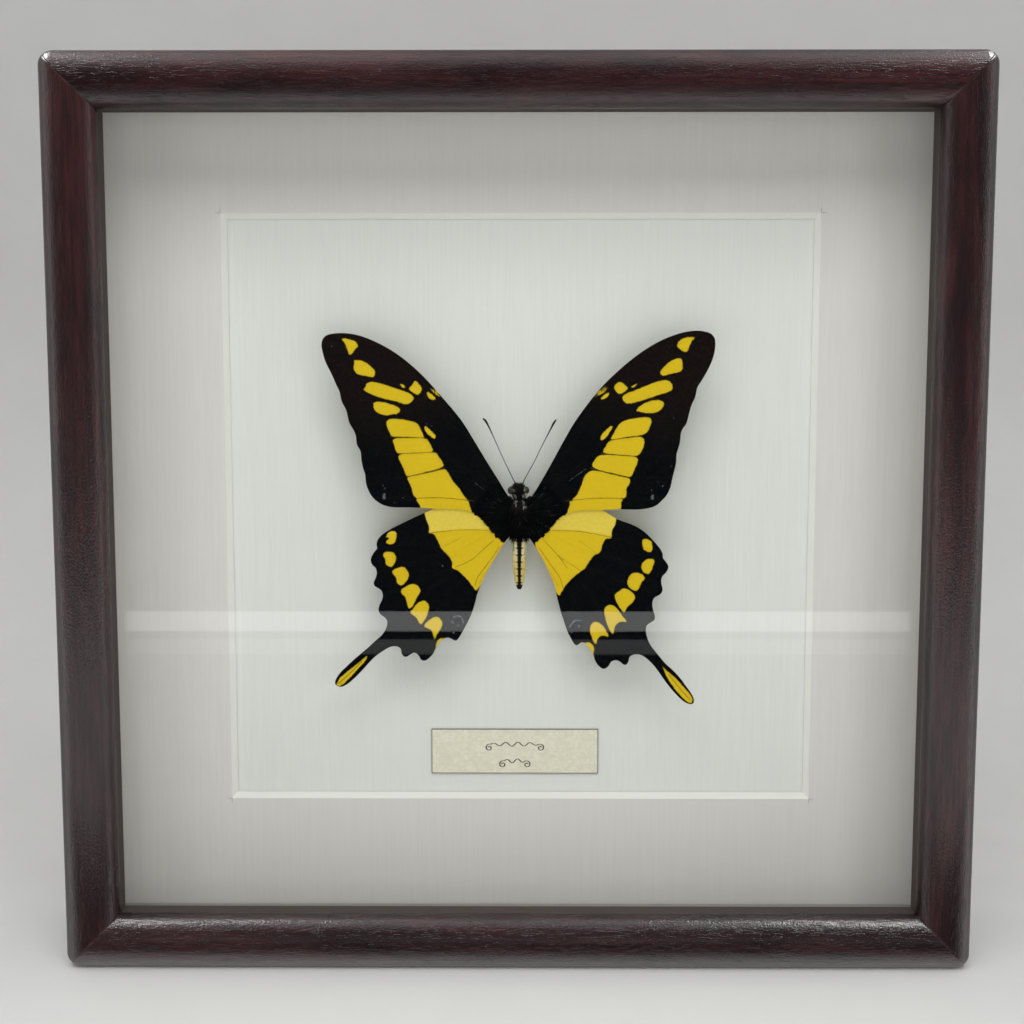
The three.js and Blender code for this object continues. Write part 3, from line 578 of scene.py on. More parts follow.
FOREWING_LEFT_YELLOW = [
    dots(-44.31, 45.45, -42.19, 45.15, -40.9, 44.66, -40.31, 43.62, -41.1, 42.58, -41.84, 41.59,
         -42.48, 41.59, -42.98, 42.98, -43.47, 44.26),
    dots(-41.1, 40.01, -39.37, 39.92, -37.84, 39.12, -36.7, 38.04, -36.06, 37.05, -36.41, 36.06,
         -37.05, 35.91, -38.63, 36.21, -40.31, 36.56, -41.15, 37.45, -41.35, 38.38, -41.15, 39.32),
    dots(-38.04, 34.38, -36.7, 34.68, -34.43, 34.18, -31.42, 33.2, -29.15, 32.41, -27.37, 31.71,
         -26.58, 30.63, -27.17, 29.64, -28.55, 29.15, -30.23, 29.64, -32.51, 30.23, -34.78, 30.78,
         -37.05, 31.62, -38.83, 32.7, -38.43, 33.59),
    dots(-36.36, 29.54, -35.17, 29.74, -33.3, 29.44, -31.42, 28.85, -30.23, 28.16, -29.99, 27.47,
         -30.83, 26.68, -31.76, 26.68, -33.3, 26.38, -34.78, 26.68, -35.96, 27.37, -36.56, 28.5),
    dots(-33.1, 25.1, -31.76, 25.49, -29.15, 25.29, -26.08, 24.5, -25.1, 23.22, -24.11, 21.09, -24.35, 20.7,
         -26.82, 20.9, -29.15, 21.04, -31.76, 21.09, -32.51, 21.83, -33.1, 23.37, -33.39, 24.3),
    dots(-31.76, 20.16, -30.63, 20.65, -27.57, 20.7, -24.55, 20.55, -23.42, 20.35, -22.63, 19.36,
         -21.88, 17.69, -22.43, 17.09, -24.55, 16.99, -27.57, 16.89, -30.23, 16.89, -31.02, 17.49,
         -31.42, 18.77),
    dots(-30.43, 16.15, -29.15, 16.8, -26.08, 16.89, -21.54, 16.99, -20.35, 15.96, -19.27, 14.23,
         -19.41, 13.49, -21.14, 12.75, -24.55, 11.95, -27.57, 11.21, -28.55, 11.36, -29.29, 13.34,
         -30.23, 15.22),
    dots(-28.26, 10.67, -26.77, 11.21, -22.92, 11.95, -19.17, 12.79, -18.18, 12.15, -16.89, 9.88, -15.31, 8,
         -14.23, 6.27, -13.44, 5.14, -16.89, 5.43, -20.65, 5.63, -23.71, 5.73, -25.59, 5.43, -26.77, 6.42,
         -27.32, 8.4, -27.86, 9.68),
    dots(-25.98, 5.34, -23.71, 5.63, -20.65, 5.58, -16.89, 5.38, -13.44, 5.14, -12.65, 3.46, -11.86, 1.19,
         -16.8, 1.98, -21.74, 2.17, -24.5, 2.57, -25.29, 3.95),
    dots(-27.66, 33.1, -26.82, 33.99, -26.08, 34.98, -25.29, 34.18, -24.6, 33.25, -24.7, 32.31,
         -25.49, 31.52, -26.48, 31.91, -27.37, 32.51),
    dots(-23.22, 32.11, -22.23, 31.71, -21.14, 30.63, -21.54, 30.23, -22.82, 30.78),
    dots(-23.81, 23.56, -23.02, 23.22, -22.08, 22.23, -21.14, 21.24, -21.24, 20.6, -21.88, 20.7,
         -23.02, 21.64, -23.81, 22.63),
    dots(-22.5, 33.1, -21.1, 32.1, -19.9, 30.95, -21.3, 31.75),
    dots(-21.7, 33.25, -20.4, 32.3, -19.6, 31.4, -20.7, 32),
    dots(-29.9, 34.1, -29.2, 34, -28.6, 33.2, -29.3, 33.3),
]
FOREWING_RIGHT_YELLOW = [
    dots(39.12, 43.67, 39.87, 45.05, 41.4, 45.6, 43.47, 45.74, 42.88, 45.05, 42.43, 44.26, 41.99, 43.13,
         41.64, 42.29, 40.8, 42.19, 39.87, 42.78),
    dots(34.98, 37.05, 36.06, 38.53, 37.74, 39.92, 39.32, 40.46, 40.21, 40.31, 40.51, 39.32, 40.36, 37.64,
         39.32, 37.05, 37.74, 36.75, 36.06, 36.26, 35.27, 36.56),
    dots(25.69, 30.78, 26.58, 31.71, 28.65, 32.51, 31.71, 33.79, 34.73, 34.88, 36.85, 35.07, 37.94, 33.99,
         37.94, 32.9, 36.85, 32.11, 34.73, 31.52, 31.71, 30.43, 28.65, 29.54, 26.58, 29.44),
    dots(29.24, 27.57, 29.99, 28.55, 31.32, 29.44, 33.2, 30.04, 35.07, 30.13, 35.96, 29.44, 35.77, 28.5,
         34.73, 27.37, 33.2, 26.97, 31.52, 26.97, 29.99, 27.27),
    dots(22.92, 20.45, 23.51, 21.64, 24.5, 23.56, 25.59, 24.7, 27.17, 25.29, 30.13, 25.79, 32.11, 25.84,
         32.95, 25.1, 32.6, 23.56, 31.91, 22.23, 30.53, 21.44, 27.86, 21.09, 25.19, 20.65),
    dots(21.04, 17.09, 21.64, 18.62, 22.38, 19.76, 24.11, 20.35, 27.17, 20.7, 29.99, 21.04, 31.12, 20.35,
         31.12, 18.97, 30.33, 17.09, 29.05, 16.2, 26.38, 16.4, 23.32, 16.65),
    dots(18.28, 13.68, 18.97, 15.22, 20.25, 16.3, 23.32, 16.4, 26.77, 16.2, 29.05, 15.96, 29.59, 15.02,
         29.05, 13.34, 28.06, 11.21, 27.17, 11.02, 24.11, 11.71, 20.25, 12.55),
    dots(15.46, 8.55, 16.4, 11.02, 17.93, 12.35, 19.86, 12.35, 23.22, 11.56, 26.28, 10.82, 27.61, 10.47,
         27.61, 9.29, 26.87, 8, 26.87, 6.62, 25.89, 5.53, 20.25, 5.58, 13.73, 5.04, 14.52, 6.42),
    dots(25.54, 5.34, 25.59, 4.54, 25, 2.37, 20.55, 1.88, 15.81, 1.78, 11.95, 0.99, 12.65, 3.46,
         13.34, 4.94, 20.25, 5.48),
    dots(23.61, 33.25, 24.11, 34.18, 25.05, 34.68, 26.18, 33.99, 26.97, 33.1, 26.18, 32.31, 25.05, 31.71,
         24.3, 32.11),
    dots(20.25, 30.43, 21.04, 31.32, 22.23, 32.01, 22.23, 31.32, 21.24, 30.48),
    dots(20.25, 20.35, 20.65, 21.64, 21.83, 22.82, 22.92, 23.71, 23.22, 23.37, 22.58, 22.23, 21.64, 20.9,
         20.85, 20.25),
    dots(19, 30.95, 20.4, 32.2, 22, 33.2, 20.7, 31.9),
    dots(18.7, 31.4, 20, 32.5, 21.5, 33.5, 20.2, 32.2),
    dots(27.8, 33.3, 28.5, 33.9, 29.3, 34.1, 28.5, 33.4),
]
HINDWING_LEFT_YELLOW = [
    dots(-24.6, 3.4, -24, 1.7, -23.6, 0, -22.85, -1.9, -22.95, -3.3, -21.7, -3.65, -20.9, -5, -19.8, -7.3,
         -18.2, -9, -17.1, -10.8, -17.1, -12.3, -15.5, -13.1, -13.6, -15, -11.9, -17.1, -11.1, -18.1,
         -10.15, -17.1, -8, -13.6, -6, -10.6, -4, -7.6, -5, 0, -12, 5.6, -18, 5),
    dots(-33.2, -3.3, -32.1, -2.9, -31.2, -3.3, -31.3, -5, -31.8, -5.85, -32.85, -6.2, -33.7, -5.8,
         -33.6, -5.2, -33.1, -5, -33.3, -4.4, -33.8, -4.4),
    dots(-34.5, -8.65, -33.4, -8.15, -32.1, -8.3, -31.4, -9.2, -31.5, -10.6, -32.3, -11.85, -33, -11.85,
         -33.8, -11.35, -34, -10.2),
    dots(-32.3, -13.2, -30.9, -12.2, -29.2, -12.1, -28.15, -13.85, -28.4, -15.2, -29.2, -16.15,
         -30.1, -16.7, -31.1, -16, -31.4, -14.6),
    dots(-30.2, -18.3, -28.65, -16.9, -26.7, -16.4, -25.2, -18, -26.15, -19.95, -27.1, -21.9, -28.1, -22.65,
         -28.5, -21.7, -29, -19.8),
    dots(-27.8, -23.8, -26.9, -22.5, -25.6, -21.1, -24, -20.8, -23.1, -22.1, -23.3, -23.6, -23.85, -25.15,
         -25, -26.7, -25.6, -26.3, -26.35, -24.95),
    dots(-24.35, -27.1, -23.3, -25.9, -21.5, -24.9, -20.2, -25.5, -19.7, -26.9, -20.4, -28.4, -21.15, -29.6,
         -21.7, -30.6, -22, -29.6, -22.5, -28.4, -23.65, -27.7),
    dots(-21.35, -32.3, -20.95, -31.1, -20.2, -30.5, -19.2, -30.35, -19.6, -30.9, -20.6, -31.9,
         -21.2, -32.85),
    dots(-46.7, -42.3, -45.8, -40.5, -43.85, -38.8, -41.5, -36.9, -39.8, -35.5, -38.85, -34.8, -39.6, -36.3,
         -41.15, -38, -43.1, -40.15, -45, -42.1, -46.15, -42.6),
]
HINDWING_RIGHT_YELLOW = [
    dots(25, 2.4, 24.4, 0.2, 24.1, -1.15, 23.35, -2.7, 23.1, -4.6, 21.8, -4.8, 21, -6.15, 20.3, -8.3,
         18.9, -9, 17.8, -10.4, 16.6, -12.3, 15.3, -13.3, 13.5, -14.8, 11.6, -16.9, 10.65, -18.5,
         9.9, -19.4, 8.6, -17.2, 7, -13.4, 5.4, -10.6, 4, -8, 5, 0, 12, 5.2, 18, 4.6),
    dots(31, -5.2, 32, -4.8, 33.15, -5.4, 33.5, -6.7, 33.35, -7.9, 32.6, -8.1, 31.4, -7.5, 31.15, -6.5),
    dots(30.85, -11.9, 31.2, -10.8, 32.4, -9.9, 34, -10.1, 33.7, -11.9, 32.8, -13.65, 31.8, -13.5,
         31, -12.7),
    dots(27.3, -15.8, 27.8, -14.4, 28.9, -13.5, 30.65, -13.65, 31.7, -14.8, 30.85, -15.95, 30.3, -17.3,
         29.5, -18.1, 28.15, -17.5, 27.5, -16.7),
    dots(24.15, -19.15, 25.3, -18.2, 26.3, -17.5, 28, -18.1, 29.3, -19.7, 28.4, -21.3, 27.2, -22.4,
         26.65, -23.6, 25.9, -23, 24.9, -21.5, 24.35, -20.3),
    dots(21.5, -23, 22.2, -22, 23.2, -21.7, 24.5, -22.4, 25.7, -23.95, 27.2, -26.1, 26.1, -26, 24.9, -26.5,
         24.15, -27.6, 23.85, -29.15, 23, -28.4, 22.2, -26.5, 21.65, -24.5),
    dots(17.9, -28, 18.4, -26.65, 19.5, -26.1, 20.9, -26.85, 22, -28.4, 22.7, -30, 21.85, -29.7,
         20.7, -29.85, 19.9, -30.5, 19.5, -31.8, 18.8, -31.1, 18.2, -29.5),
    dots(16.65, -31.6, 17.8, -31.5, 18.8, -32.4, 18.95, -33.4, 18.8, -34.5, 18.1, -33.6, 17.2, -32.4),
    dots(36.3, -37.4, 37.4, -38.6, 39.5, -40.3, 41.85, -42.8, 43.6, -44.9, 44.1, -46.3, 43.6, -46.95,
         42.2, -46.1, 40.3, -44.15, 38.6, -41.85, 37.4, -39.9, 36.85, -38.4),
]
# Lines as (half width, points), where the dark veins cross the yellow.
HINDWING_LEFT_LINES = [
    (0.09, dots(-22.5, -3.3, -15, -2.6, -8.2, -2.7)),
    (0.09, dots(-6.7, -5.4, -9.4, -7.7, -12.1, -10.2, -16.3, -12.1)),
    (0.1, dots(-5.2, -6.9, -6.3, -8.8, -8.6, -11.9, -10.7, -14.8, -11.3, -16.9)),
    (0.05, dots(-9.2, -13.8, -10.3, -16.5)),
    (0.05, dots(-14.8, -4.6, -19.4, -6.9)),
    (0.12, dots(-46.2, -41.9, -43, -39, -40.2, -36.2)),
]
HINDWING_RIGHT_LINES = [
    (0.09, dots(8.15, -2.9, 15, -3, 23, -4.4)),
    (0.09, dots(5.85, -5, 9.7, -9.2, 12, -12.3)),
    (0.07, dots(9.7, -9.2, 13.15, -11.5, 15.5, -13.1)),
    (0.05, dots(15.1, -5.4, 19.7, -8.65)),
    (0.1, dots(4.9, -7.3, 7.8, -11.5, 10.1, -14.6, 11, -17.5)),
    (0.05, dots(7.4, -12.7, 9.7, -16.9)),
    (0.12, dots(43.4, -46, 40.6, -42.8, 38, -39.6)),
]
FOREWING_LEFT_LINES = [
    (0.09, dots(-11.86, 4.84, -16.89, 5.43, -20.65, 5.68, -25.98, 5.53)),
    (0.1, dots(-23.91, 20.7, -27.17, 20.8, -29.64, 20.85, -32.41, 20.95)),
    (0.1, dots(-21.54, 17.14, -24.55, 16.99, -27.57, 16.88, -30.83, 16.8)),
    (0.1, dots(-18.97, 13.14, -21.04, 12.6, -23.71, 11.91, -27.66, 11.07)),
]
FOREWING_RIGHT_LINES = [
    (0.09, dots(11.86, 4.74, 15.81, 5.24, 20.25, 5.58, 25.98, 5.53)),
    (0.1, dots(22.53, 20.06, 25, 20.5, 27.66, 20.9, 30.63, 21.24)),
    (0.1, dots(20.55, 16.75, 23.32, 16.53, 26.58, 16.3, 29.24, 16.08)),
    (0.1, dots(17.78, 13.14, 20.06, 12.45, 23.71, 11.64, 27.47, 10.77)),
]
# Veins of a left wing, mirrored for the right: raised, and hardly seen on the dark scales.
FOREWING_VEINS = [
    dots(-2.96, 5.14, -7.9, 13.34, -13.83, 22.53, -19.76, 29.64, -25.69, 35.77, -32.6, 41.3, -40.51, 45.05),
    dots(-3.16, 4.94, -8.89, 13.14, -14.33, 20.75, -19.27, 26.68, -23.91, 30.63),
    dots(-3.16, 4.15, -7.9, 8.1, -12.84, 11.86, -17.29, 16.1, -21.34, 20.55, -23.71, 24.01),
    dots(-23.91, 30.63, -25, 28.16, -24.6, 25.69, -23.71, 24.01),
    dots(-23.91, 30.63, -29.64, 35.86, -35.57, 39.52, -40.71, 41.3, -48.81, 42.09),
    dots(-23.91, 30.63, -30.63, 37.54, -37.54, 42.48, -43.47, 44.66, -47.42, 45.84),
    dots(-24.7, 29.44, -28.65, 32.9, -33.59, 34.98, -39.12, 35.77, -46.73, 36.36),
    dots(-25, 27.96, -27.66, 28.95, -32.6, 29.94, -37.54, 30.63, -44.66, 30.83),
    dots(-23.71, 24.5, -27.66, 25.69, -33.39, 25.98, -37.54, 25.98, -42.88, 25.69),
    dots(-21.54, 20.75, -25.69, 20.85, -32.11, 20.85, -40.9, 20.35),
    dots(-17.59, 16.4, -21.74, 16.89, -27.66, 16.8, -30.92, 16.7, -39.82, 16.1),
    dots(-12.84, 11.86, -19.17, 12.75, -23.71, 11.76, -28.26, 10.97, -38.73, 10.67),
    dots(-3.95, 2.96, -8.89, 4.45, -13.44, 5.24, -19.76, 5.63, -25.69, 5.43, -32.6, 5.24, -36.95, 5.83),
]
HINDWING_VEINS = [
    dots(-3, 0, -8.2, -2.7, -15, -2.8, -22.7, -3.6, -30, -6.5, -36, -7.5),
    dots(-3, -1, -9, -4, -16, -7.5, -24, -9.6, -31, -12, -36.3, -13.5),
    dots(-3.4, -2.4, -9.4, -7.7, -12.1, -10.2, -16.3, -12.1, -24, -15, -30.5, -17.5, -34.8, -19.4),
    dots(-16.3, -12.1, -22, -17.5, -28, -23.5, -33.7, -27, -38.5, -33.5, -46, -41.8),
    dots(-12.1, -10.2, -14, -14, -18.6, -20, -25.6, -28.5, -30.2, -33.8),
    dots(-3.6, -4, -6.3, -8.8, -8.6, -11.9, -11.3, -16.9, -15.5, -22.5, -20.5, -29, -25.8, -34.8),
]
# Pale marks and scratches on the dark scales, as lines.
FOREWING_LEFT_FLECKS = [
    (0.35, dots(-34.18, 5.53, -34.18, 6.42)),
    (0.12, dots(-34.38, 8.6, -34.38, 8.89)),
    (0.1, dots(-33.99, 7.81, -33.99, 8)),
    (0.1, dots(-29.44, 5.53, -29.44, 5.73)),
    (0.1, dots(-31.62, 4.45, -31.62, 4.64)),
    (0.12, dots(-46.78, 43.18, -46.78, 43.47)),
    (0.05, dots(-5.9, 2.1, -9.3, 5)),
    (0.05, dots(-6.1, 1.9, -10.4, 2.2)),
    (0.04, dots(-12, 9.9, -7.2, 6.3)),
    (0.12, dots(-23.42, 24.21, -23.32, 24.11)),
    (0.12, dots(-22.23, 23.61, -22.13, 23.51)),
]
FOREWING_RIGHT_FLECKS = [
    (0.35, dots(33.39, 5.53, 33.39, 6.22)),
    (0.12, dots(33.1, 7.61, 33.1, 7.81)),
    (0.1, dots(34.78, 9.58, 34.78, 9.78)),
    (0.1, dots(35.91, 8.6, 35.91, 8.79)),
    (0.1, dots(38.04, 13.63, 38.04, 13.83)),
    (0.1, dots(38.53, 25.49, 38.53, 25.69)),
    (0.05, dots(5.9, 1.3, 8.9, 2.2)),
    (0.05, dots(4.1, 3.4, 8.9, 6.5)),
    (0.04, dots(12.5, 9.9, 16.6, 12.9)),
]
HINDWING_LEFT_FLECKS = [
    (0.22, dots(-16.9, -25, -15.4, -24.8, -14.6, -25.5, -14.4, -26.7)),
    (0.25, dots(-17.2, -26.2, -17, -26.4)),
    (0.2, dots(-15.7, -27.2, -15.5, -27.4)),
    (0.25, dots(-16.9, -28.9, -16.8, -29.1)),
    (0.14, dots(-19.6, -11.7, -19.6, -11.9)),
]
HINDWING_RIGHT_FLECKS = [
    (0.22, dots(12.6, -27.6, 13, -27, 14.15, -25.8, 15.5, -25.9)),
    (0.22, dots(15, -27.2, 15.2, -27.4)),
    (0.22, dots(13.1, -28.7, 13.3, -28.9)),
]
# Where the black hair of the body ends on each side.
HAIRY_LEFT = dots(
    -1, 9, -6, 9, -9.5, 6.5, -11.8, 3.6, -12.2, 2, -10, 0.2, -8, -2.1, -6.6, -3.7, -5, -5.4, -1, -6
)
HAIRY_RIGHT = dots(
    1, 9, 6, 9, 9.5, 6.5, 11.6, 3.4, 12, 1.7, 9.8, 0, 8.3, -2, 6.4, -4, 4.5, -5.6, 1, -6
)
# Above these lines the yellow of the hindwings is paler.
PALE_EDGE_LEFT = dots(-26, -3.6, -22.5, -3.3, -15, -2.6, -8.2, -2.7, -4, -2)
PALE_EDGE_RIGHT = dots(26, -4.9, 23, -4.4, 15, -3, 8.15, -2.9, 4, -2)


def distance(points, line):
    """How far each point is from a polyline."""
    best = np.full(len(points), np.inf)
    for start, end in zip(line[:-1], line[1:]):
        step = end - start
        share = np.clip(((points - start) @ step) / max(step @ step, 1e-12), 0, 1)
        best = np.minimum(best, np.linalg.norm(points - start - share[:, None] * step, axis=1))
    return best


def inside(points, polygon):
    x, y = points.T
    found = np.zeros(len(points), bool)
    for (ax, ay), (bx, by) in zip(polygon, np.roll(polygon, -1, 0)):
        if ay != by:
            found ^= ((ay > y) != (by > y)) & (x < (bx - ax) * (y - ay) / (by - ay) + ax)
    return found


def signed_distance(points, polygon):
    """Distance to the edge of a closed shape, positive within it."""
    away = distance(points, np.concatenate([polygon, polygon[:1]]))
    return np.where(inside(points, polygon), away, -away)


def depth_of_shapes(points, shapes):
    """How deep each point lies in the nearest of some rounded shapes, negative outside them."""
    return np.max([signed_distance(points, catmull(shape, 4, closed=True)) for shape in shapes], axis=0)


def depth_of_lines(points, lines):
    """The same for lines with their half widths."""
    return np.max([half - distance(points, catmull(line, 4)) for half, line in lines], axis=0)


def wave(x, z):
    """The gentle warp that both wings of a side share, towards the viewer where negative."""
    return 0.28 * np.sin(0.13 * x + 0.4) * np.cos(0.11 * z) + 0.1 * np.sin(0.31 * z + 0.2 * x)


def placed_on_wing(x, y, z, side):
    """From a flat wing's own X, Y, Z to the frame, tilted by the dihedral."""
    cosine, sine = math.cos(-side * DIHEDRAL), math.sin(-side * DIHEDRAL)
    return np.stack([x * cosine - y * sine, x * sine + y * cosine, z], 1) + PIN


def add_wing(name, outline, front, side, material, yellow, lines, flecks, veins, hairy, pale_edge=None):
    """A warped sheet with raised veins, triangulated so that every drawn line has points of its own."""
    edge = catmull(outline, 6)
    pitch = WING_PITCH
    low, high = edge.min(0), edge.max(0)
    xs, zs = np.meshgrid(np.arange(low[0], high[0], pitch), np.arange(low[1], high[1], pitch * 0.87))
    xs = xs + (np.arange(len(xs)) % 2)[:, None] * pitch / 2
    grid = np.stack([xs.ravel(), zs.ravel()], 1)
    grid = grid[inside(grid, edge)]
    drawn = [catmull(line, 4) for _, line in lines + flecks]
    for line in [np.concatenate([edge, edge[:1]])] + drawn:
        grid = grid[distance(grid, line) > 0.4 * pitch]
    flat = np.concatenate([edge, grid] + drawn)
    kept = [(i, (i + 1) % len(edge)) for i in range(len(edge))]
    start = len(edge) + len(grid)
    for line in drawn:
        kept += [(start + i, start + i + 1) for i in range(len(line) - 1)]
        start += len(line)
    corners, _, faces, _, _, _ = geometry.delaunay_2d_cdt([Vector(p) for p in flat], kept, [], 0, 1e-6)
    flat = np.array([tuple(p) for p in corners])
    faces = np.array([face for face in faces if len(face) == 3])
    faces = faces[inside(flat[faces].mean(1), edge)]

    mirror = np.array([-side, 1.0])
    vein_lines = [catmull(np.array(vein) * mirror, 6) for vein in veins]
    to_vein = np.min([distance(flat, line) for line in vein_lines], axis=0)
    to_rim = distance(flat, np.concatenate([edge, edge[:1]]))
    x, z = flat.T
    raised = VEIN_HEIGHT * np.exp(-((to_vein / VEIN_WIDTH) ** 2))
    relief = wave(x, z) - raised + RIM_FALL * np.exp(-to_rim / RIM_WIDTH)
    y = front + relief
    points = [placed_on_wing(x, y, z, side), placed_on_wing(x, y + WING_THICKNESS, z, side)]
    count = len(flat)
    front_faces = faces if faces_viewer(flat, faces) else faces[:, ::-1]
    back_faces = front_faces[:, ::-1] + count
    rim = [[a + count, b + count, b, a] for a, b in outer_edges(front_faces)]
    faces = front_faces.tolist() + back_faces.tolist() + rim
    wing = add_mesh(name, np.concatenate(points), faces, material, sharp_deg=60)

    reach = np.hypot(x, z - 2)
    hair_depth = signed_distance(flat, catmull(hairy, 4, closed=True))
    brown_tip = np.clip((reach - 22) / 20, 0, 1) * np.clip((z - 14) / 16, 0, 1)
    brown_root = np.clip(1 - reach / 14, 0, 1) * 0.5
    pale = np.zeros(count)
    if pale_edge is not None:
        edge_x, edge_z = np.array(sorted((abs(px), pz) for px, pz in pale_edge)).T
        pale = np.clip((z - np.interp(np.abs(x), edge_x, edge_z)) / 0.5, 0, 1)
    layers = {
        "yellow": depth_of_shapes(flat, yellow),
        "line": depth_of_lines(flat, lines),
        "fleck": depth_of_lines(flat, flecks),
        "vein": np.exp(-((to_vein / 0.22) ** 2)),
        "hairy": np.clip(0.5 + hair_depth / 1.6, 0, 1),
        "brown": brown_tip + brown_root,
        "pale": pale,
    }
    for layer, values in layers.items():
        add_values(wing, layer, np.tile(values, 2))
    turn = np.arctan2(z - 2, x) if side > 0 else np.arctan2(z - 2, -x)
    add_vectors(wing, "radial", np.tile(np.stack([turn * 22, reach * 0.28, 0 * x], 1), (2, 1)))
    hand_in(wing, "wing_scales", name.replace("_surface", ""))


def faces_viewer(flat, faces):
    """Whether the first triangle's normal points to -Y once X and Z are placed."""
    a, b, c = flat[faces[0]]
    return (b[0] - a[0]) * (c[1] - a[1]) - (b[1] - a[1]) * (c[0] - a[0]) > 0


def outer_edges(faces):
    """The edges that only one triangle has, in that triangle's direction."""
    pairs = np.concatenate([faces[:, [0, 1]], faces[:, [1, 2]], faces[:, [2, 0]]])
    keys = {tuple(sorted(pair)): 0 for pair in pairs.tolist()}
    for pair in pairs.tolist():
        keys[tuple(sorted(pair))] += 1
    return [pair for pair in pairs.tolist() if keys[tuple(sorted(pair))] == 1]


# ---- Body --------------------------------------------------------------------------------------

THORAX = {"centre": (-0.1, 0.2, 0.1), "radii": (3.1, 2.8, 5.6)}
HEAD = {"centre": (-0.32, 0.3, 7.2), "radii": (1.55, 1.35, 1.8)}
ABDOMEN_TOP, ABDOMEN_TIP, ABDOMEN_RADIUS, SEGMENTS = -3.6, -17.85, 1.8, 8
ANTENNAE = [
    [(-0.55, -0.3, 8.1), (-1, -0.8, 9.1), (-2, -1, 11), (-3.9, -1.5, 15), (-5, -1.75, 17.4), (-6.4, -2, 20.6),
     (-7.5, -2.2, 23), (-8.4, -2.35, 24.8), (-9.2, -2.4, 25.6)],
    [(0.35, -0.3, 8.1), (0.7, -0.8, 9.1), (1.6, -1, 11), (3.8, -1.5, 15), (5, -1.75, 17.6), (6.2, -2, 20),
     (7.6, -2.2, 22.7), (8.4, -2.35, 24.3), (9.1, -2.4, 25.3)],
]
ANTENNA_RADII = [0.14, 0.12, 0.1, 0.09, 0.09, 0.1, 0.16, 0.28, 0.17]
LEGS = [
    [(1.2, 1.8, 3.4), (2.6, 4.1, 5.4), (1.8, 5.6, 2.6), (1.4, 6, 0.8)],
    [(1.5, 2, 1), (4.2, 4.3, 1.2), (3.4, 5.9, -2.2), (2.6, 6.2, -3.9)],
    [(1.4, 1.9, -2), (3.9, 3.9, -2.4), (3, 5.4, -4.3), (1.5, 5.8, -4.6)],
]
LEG_RADII = [0.42, 0.3, 0.2, 0.12]
# Spots of pale hair on head and thorax as (X, Z, half width, half height) from the pin.
PALE_SPOTS = [
    (-1.05, 7.3, 0.2, 0.25), (-0.95, 6.3, 0.16, 0.25), (-1.3, 5.8, 0.16, 0.2), (-0.75, 5.2, 0.14, 0.3),
    (-0.85, 4, 0.17, 0.5), (-0.9, 3.1, 0.13, 0.35), (0.75, 7.5, 0.16, 0.3), (0.95, 6.6, 0.16, 0.22),
    (1.35, 5.8, 0.16, 0.2), (0.7, 5.3, 0.14, 0.3), (0.75, 4.1, 0.15, 0.45), (0.85, 3.2, 0.13, 0.4),
]


def smooth_tube(knots, radii, sides, steps=6):
    """A tube along the curve through some knots, its radii spread evenly along it."""
    line = catmull(knots, steps)
    along = np.linspace(0, len(radii) - 1, len(line))
    return tube(line, np.interp(along, range(len(radii)), radii), sides)


def add_body_piece(name, points, faces, material, layers=()):
    """A piece of the body, from points about the pin, with values for its material to read."""
    piece = add_mesh(name, np.asarray(points) + PIN, faces, material)
    for layer, values in dict(layers).items():
        add_values(piece, layer, values)
    hand_in(piece, "butterfly_body", "butterfly_body")


def add_body_shell(material):
    parts = [ball(THORAX["centre"], THORAX["radii"], 40, 56), ball(HEAD["centre"], HEAD["radii"])]
    for side in (-1, 1):
        palp = np.array([(0.45 * side, -0.6, 7.9), (0.6 * side, -1.1, 8.6), (0.5 * side, -1.1, 9.1)])
        parts.append(smooth_tube(palp + [HEAD["centre"][0], 0, 0], [0.42, 0.4, 0.16], 10))
    points, faces = joined(parts)
    x, y, z = points.T
    bumps = 0.08 * np.sin(4.1 * x + 1.3) * np.sin(3.7 * z) + 0.06 * np.sin(7 * y)
    add_body_piece("body_shell", points * (1 + 0.02 * bumps[:, None]), faces, material)


def add_abdomen(material):
    """Beaded segments, with a dark stripe towards the viewer that widens at each joint."""
    steps, sides = 96, 40
    length = ABDOMEN_TOP - ABDOMEN_TIP
    points, stripe, rings, flanks = [], [], [], []
    for i in range(steps + 1):
        along = i / steps
        taper = math.sqrt(math.sin(math.pi * min(1, 0.02 + 0.76 * along)))
        phase = along * SEGMENTS % 1
        to_joint = min(phase, 1 - phase)
        swell = 1 - 0.1 * math.exp(-((to_joint / 0.12) ** 2))
        joint = math.exp(-((to_joint / 0.1) ** 2))
        radius = ABDOMEN_RADIUS * taper * swell
        bead = 0.3 + 0.3 * along**2 + 0.12 * math.sin(math.pi * phase) ** 2
        bead += 0.5 * joint
        if along < 0.1:
            bead += 1.6 * (1 - along / 0.1)
        for k in range(sides):
            turn = 2 * math.pi * k / sides
            x, y = radius * math.cos(turn), 0.92 * radius * math.sin(turn)
            points.append([x - 0.08, y + 0.15, ABDOMEN_TIP + along * length])
            stripe.append(bead - abs(x) if y < 0 else 0.3 - abs(x))
            rings.append(joint)
            flanks.append(math.exp(-(((abs(x) - 1.45) / 0.16) ** 2)) * (along > 0.45))
    layers = {"stripe": stripe, "ring": rings, "flank": flanks}
    add_body_piece("abdomen_segments", points, ring_faces(steps + 1, sides), material, layers)


def add_limbs(material):
    parts = [smooth_tube(knots, ANTENNA_RADII, 10) for knots in ANTENNAE]
    for side in (-1, 1):
        for leg in LEGS:
            parts.append(smooth_tube(np.array(leg) * [side, 1, 1], LEG_RADII, 8, 4))
    add_body_piece("limbs_and_antennae", *joined(parts), material)


def add_eyes(material):
    middle = HEAD["centre"][0]
    eyes = [ball((middle + 1.8 * side, 0.1, 7.4), (0.95, 1.1, 1.05), 24, 32) for side in (-1, 1)]
    add_body_piece("compound_eyes", *joined(eyes), material)


